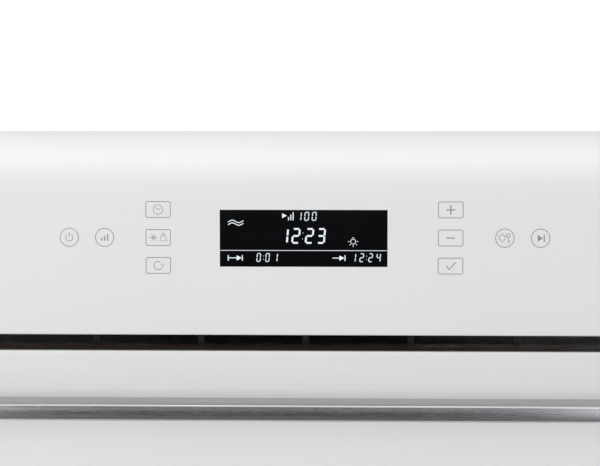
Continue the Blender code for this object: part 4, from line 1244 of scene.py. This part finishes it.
def coil_springs():
    """Compression springs of the hinges: fine round wire with closed ends."""
    low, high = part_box("hinge_spring_right")
    middle = (low + high) / 2
    thick = 0.0008
    radius = (high.x - low.x) / 2 - thick
    turns, fine = 9, 28
    points = []
    for i in range(turns * fine + 1):
        share = i / (turns * fine)
        eased = min(max((share - 0.09) / 0.82, 0), 1)
        height = low.z + thick + 0.0016 * min(share / 0.09, 1) + (high.z - low.z - 2 * thick - 0.0032) * eased
        height += 0.0016 * max((share - 0.91) / 0.09, 0)
        a = 2 * math.pi * i / fine
        points.append((middle.x + radius * math.cos(a), middle.y + radius * math.sin(a), height))
    right = tube("hinge_coil_right", points, thick, detail=2)
    left = mirrored(right, "hinge_coil_left")
    fit_out(right, "door", STEEL, ["hinge_spring_right"])
    fit_out(left, "door", STEEL, ["hinge_spring_left"])
    for coil, side in ((right, "right"), (left, "left")):
        x = middle.x if side == "right" else -middle.x
        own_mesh(coil)


# ---------------------------------------------------------------- housing
def side_panel_piece():
    """Sheet side panel with pressed stiffening ribs, hooded louvres and its screws."""
    low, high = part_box("side_panel_right")
    skin = block("side_sheet_right", low, high)
    band = block("band", (high.x - 0.0004, low.y + 0.030, 0.066), (high.x, high.y - 0.030, 0.090))
    round_edges(band, "X", 0.010, 6)
    for border, rise in ((0.0010, 0.0003), (0.0022, 0.0010), (0.0012, 0.0003)):
        set_in(band, lambda middle, normal: normal.x > 0.999, border, (rise, 0, 0))
    row(band, 3, (0, 0, 0.110))
    cut(skin, [band], "UNION")
    slots = []
    for i in range(9):
        y = at(0.120 + 0.040 * i)
        slots.append(block("slot", (low.x - 0.002, y, 0.374), (high.x + 0.002, y + 0.006, 0.422)))
    cut(skin, slots)
    soften(skin, 0.0002, 1, 60)
    hood = bar("hood", (high.x, at(0.1125), 0.371), (high.x, at(0.1125), 0.425), 0.0080, 24)
    choose(hood, lambda mid, along: abs(along.z) < 0.1, "EDGE")
    bpy.ops.mesh.bevel(offset=0.004, segments=3, affect="EDGES")
    done(hood)
    choose(hood, lambda mid, normal: True)
    bpy.ops.mesh.bisect(plane_co=(high.x - 0.0003, 0, 0), plane_no=(1, 0, 0), clear_inner=True, use_fill=True)
    done(hood)
    flatten(hood, (high.x, 0, 0), (0.34, 1, 1))
    row(hood, 9, (0, 0.040, 0))
    heads = []
    for z in (0.040, 0.225, 0.405):
        for y in (low.y + 0.012, high.y - 0.010):
            heads.append((high.x, y, z))
    right = joined([skin, hood], "side_sheet_right")
    left = mirrored(right, "side_sheet_left")
    fit_out(right, "chassis", ZINC, ["side_panel_right"])
    fit_out(left, "chassis", ZINC, ["side_panel_left"])
    screws("side_screws_right", heads, (1, 0, 0), "chassis")
    screws("side_screws_left", [(-x, y, z) for x, y, z in heads], (-1, 0, 0), "chassis")


def top_sheet():
    """Top cover: three long pressed ribs, intake slots with rounded ends and six screws."""
    low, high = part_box("top_cover")
    skin = block("top_sheet", low, high)
    rib = block("rib", (-0.209, low.y + 0.040, high.z - 0.0006), (-0.191, at(0.400), high.z + 0.0010))
    row(rib, 3, (0.200, 0, 0))
    round_edges(rib, "Z", 0.008, 6)
    soften(rib, 0.0007, 3)
    cut(skin, [rib], "UNION")
    slot = block("slot", (-0.150, at(0.430), low.z - 0.003), (-0.132, at(0.490), high.z + 0.003))
    row(slot, 11, (0.028, 0, 0))
    round_edges(slot, "Z", 0.0085, 6)
    cut(skin, [slot])
    fit_out(skin, "chassis", ZINC, ["top_cover"])
    spots = [(x, y, high.z) for x in (-0.255, 0, 0.255) for y in (low.y + 0.010, high.y - 0.008)]
    screws("top_screws", spots, (0, 0, 1), "chassis", 0.0034)


def rear_sheet():
    """Rear cover: the fan motor's rounded housing, vents with round ends, cable hole and eight screws."""
    low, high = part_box("rear_cover")
    sheet_y = at(0.5183)
    skin = block("rear_sheet", (low.x, low.y, low.z), (high.x, sheet_y, high.z))
    hump = block("hump", (-0.085, sheet_y - 0.0008, 0.085), (0.085, high.y, 0.267))
    round_edges(hump, "Y", 0.018, 6)
    choose(hump, lambda mid, along: mid.y > high.y - 0.0001, "EDGE")
    bpy.ops.mesh.bevel(offset=0.0035, segments=3, affect="EDGES")
    done(hump)
    hollow = block("hollow", (-0.084, low.y - 0.010, 0.086), (0.084, high.y - 0.0010, 0.266))
    round_edges(hollow, "Y", 0.017, 6)
    cut(skin, [hump], "UNION")
    front, back = low.y - CLEAR_OF, high.y + CLEAR_OF
    vents = row(block("vent", (-0.072, front, 0.110), (-0.060, back, 0.242)), 7, (0.024, 0, 0))
    high_vents = row(block("vent", (0.090, front, 0.330), (0.100, back, 0.420)), 8, (0.020, 0, 0))
    vent_row = round_edges(joined([vents, high_vents]), "Y", 0.0045, 5)
    cable_x, cable_z = -0.180, 0.395
    cable = bar("cable_hole", (cable_x, front, cable_z), (cable_x, back, cable_z), 0.007, 32)
    cut(skin, [hollow])
    cut(skin, [vent_row, cable])
    fit_out(skin, "chassis", ZINC, ["rear_cover"])
    lip = arc((cable_x, cable_z), 0.0068, 0, 352, 40)
    grommet = tube("cable_grommet", [(x, sheet_y - 0.0005, z) for x, z in lip], 0.0016, True)
    fit_out(grommet, "chassis", RUBBER)
    spots = [(x, sheet_y, z) for x in (-0.262, 0, 0.262) for z in (0.014, 0.431)]
    spots += [(x, sheet_y, 0.225) for x in (-0.262, 0.262)]
    screws("rear_screws", spots, (0, 1, 0), "chassis")


def terminals():
    """Terminal block: three clamps with brass screws and raised walls between them."""
    low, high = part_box("terminal_block")
    body = block("mains_terminals", low, high)
    floor_y, pitch = high.y - 0.0035, 0.018
    well = block("well", (-0.158, floor_y, 0.400), (-0.148, high.y + 0.002, 0.418))
    cut(body, [row(well, 3, (pitch, 0, 0))])
    soften(body, 0.0005, 2)
    fit_out(body, "chassis", BLACK, ["terminal_block"])
    brass = brushed("brass_clamp", (0.62, 0.45, 0.18), 0.35, (1, 1, 1), 0.00001, 0.12)
    spots = [(-0.153 + pitch * i, floor_y, 0.409) for i in range(3)]
    screws("terminal_screws", spots, (0, 1, 0), "chassis", 0.0034, brass)


def base_sheet():
    """Base tray: turned-up walls with rounded corners, drain slots and two pressed runners."""
    low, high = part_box("base_tray")
    pan = block("base_sheet", low, high)
    round_edges(pan, "Z", 0.0015, 3)
    inside = block("inside", (low.x + 0.001, low.y + 0.001, 0.001), (high.x - 0.001, high.y - 0.001, 0.02))
    drains = row(block("drain", (-0.180, at(0.060), -0.002), (-0.120, at(0.072), 0.003)), 3, (0.150, 0, 0))
    notches = row(block("notch", (-0.250, at(0.010), 0.005), (-0.230, at(0.025), 0.02)), 2, (0.480, 0, 0))
    cut(pan, [inside, drains, notches])
    runner = block("runner", (-0.162, at(0.110), 0.0005), (-0.138, at(0.470), 0.0035))
    round_edges(runner, "Z", 0.009, 5)
    soften(runner, 0.001, 2)
    cut(pan, [row(runner, 2, (0.300, 0, 0))], "UNION")
    fit_out(pan, "chassis", ZINC, ["base_tray"])


# ---------------------------------------------------------------- door's inside and moving parts
def inner_pane():
    """Inner door pane: clear in the middle, with a black fired border and rounded corners."""
    low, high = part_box("door_inner_glass")
    pane = plate("door_back_pane", rounded((low.x, low.z), (high.x, high.z), 0.010, 6), low.y, high.y)
    soften(pane, 0.0004, 2, 60)
    fit_out(pane, "door", CLEAR, ["door_inner_glass"])
    rim = 0.0015
    outline = rounded((low.x + rim, low.z + rim), (high.x - rim, high.z - rim), 0.009, 6)
    border = plate("fired_border", outline, low.y - 0.00022, low.y - 0.00006)
    sight = rounded((-0.196, 0.066), (0.196, 0.281), 0.014, 8)
    hole = plate("hole", sight, low.y - CLEAR_OF, low.y + CLEAR_OF)
    cut(border, [hole])
    fit_out(border, "door", FILTER)
    spots = [(x, z) for x in (-0.214, 0.214) for z in (0.048, 0.293)]
    buttons = [bar("button", (x, high.y - 0.0002, z), (x, high.y + 0.0010, z), 0.0062, 28) for x, z in spots]
    whole = joined(buttons, "pane_holders")
    soften(whole, 0.0005, 3, 50)
    fit_out(whole, "door", BLACK)


def convection_wheel():
    """Fan wheel: back disc with a pressed ring, ten curved blades, hub nut and shaft."""
    low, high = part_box("convection_fan")
    middle = Vector((0, 0, (low.z + high.z) / 2))
    disc_y, disc_r = at(0.4140), (high.x - low.x) / 2
    disc = bar("disc", (0, disc_y, middle.z), (0, disc_y + 0.0010, middle.z), disc_r, 64)
    choose(disc, lambda mid, normal: normal.y < -0.9)
    bpy.ops.mesh.inset(thickness=0.004)
    bpy.ops.mesh.inset(thickness=0.003)
    bpy.ops.transform.translate(value=(0, -0.0006, 0))
    done(disc)
    pieces = [disc]
    blade_line = [(0.0200 + 0.0515 * i / 8, 0.30 * (i / 8) ** 1.6) for i in range(9)]
    outline = [(r * math.cos(a), r * math.sin(a)) for r, a in blade_line]
    thick = 0.0009
    back_line = [(x + thick * 0.3, z - thick) for x, z in reversed(outline)]
    blade = plate("blade", outline + back_line, at(0.3935), disc_y + 0.0002)
    for i in range(10):
        turn = Matrix.Translation(middle) @ Matrix.Rotation(2 * math.pi * i / 10, 4, "Y")
        pieces.append(twin(blade, "blade", turn=turn))
    bpy.data.objects.remove(blade)
    pieces.append(bar("hub", (0, at(0.400), middle.z), (0, at(0.4172), middle.z), 0.013, 32))
    pieces.append(bar("nut", (0, low.y, middle.z), (0, at(0.4002), middle.z), 0.0075, 6))
    pieces.append(bar("shaft", (0, at(0.410), middle.z), (0, high.y, middle.z), 0.0040, 24))
    wheel = joined(pieces, "convection_wheel")
    fit_out(wheel, "fan", STEEL, ["convection_fan"])


control_pane()
key_outlines()
key_symbols()
display_figures()
door_front_pane()
handle()
door_cap()
wire_rack_piece()
side_rack_piece()
baking_tray_piece()
fan_cover()
seal()
lamp_glass()
stirrer_dome()
cavity_ribs()
coil_springs()
side_panel_piece()
top_sheet()
rear_sheet()
terminals()
base_sheet()
inner_pane()
convection_wheel()
setting()
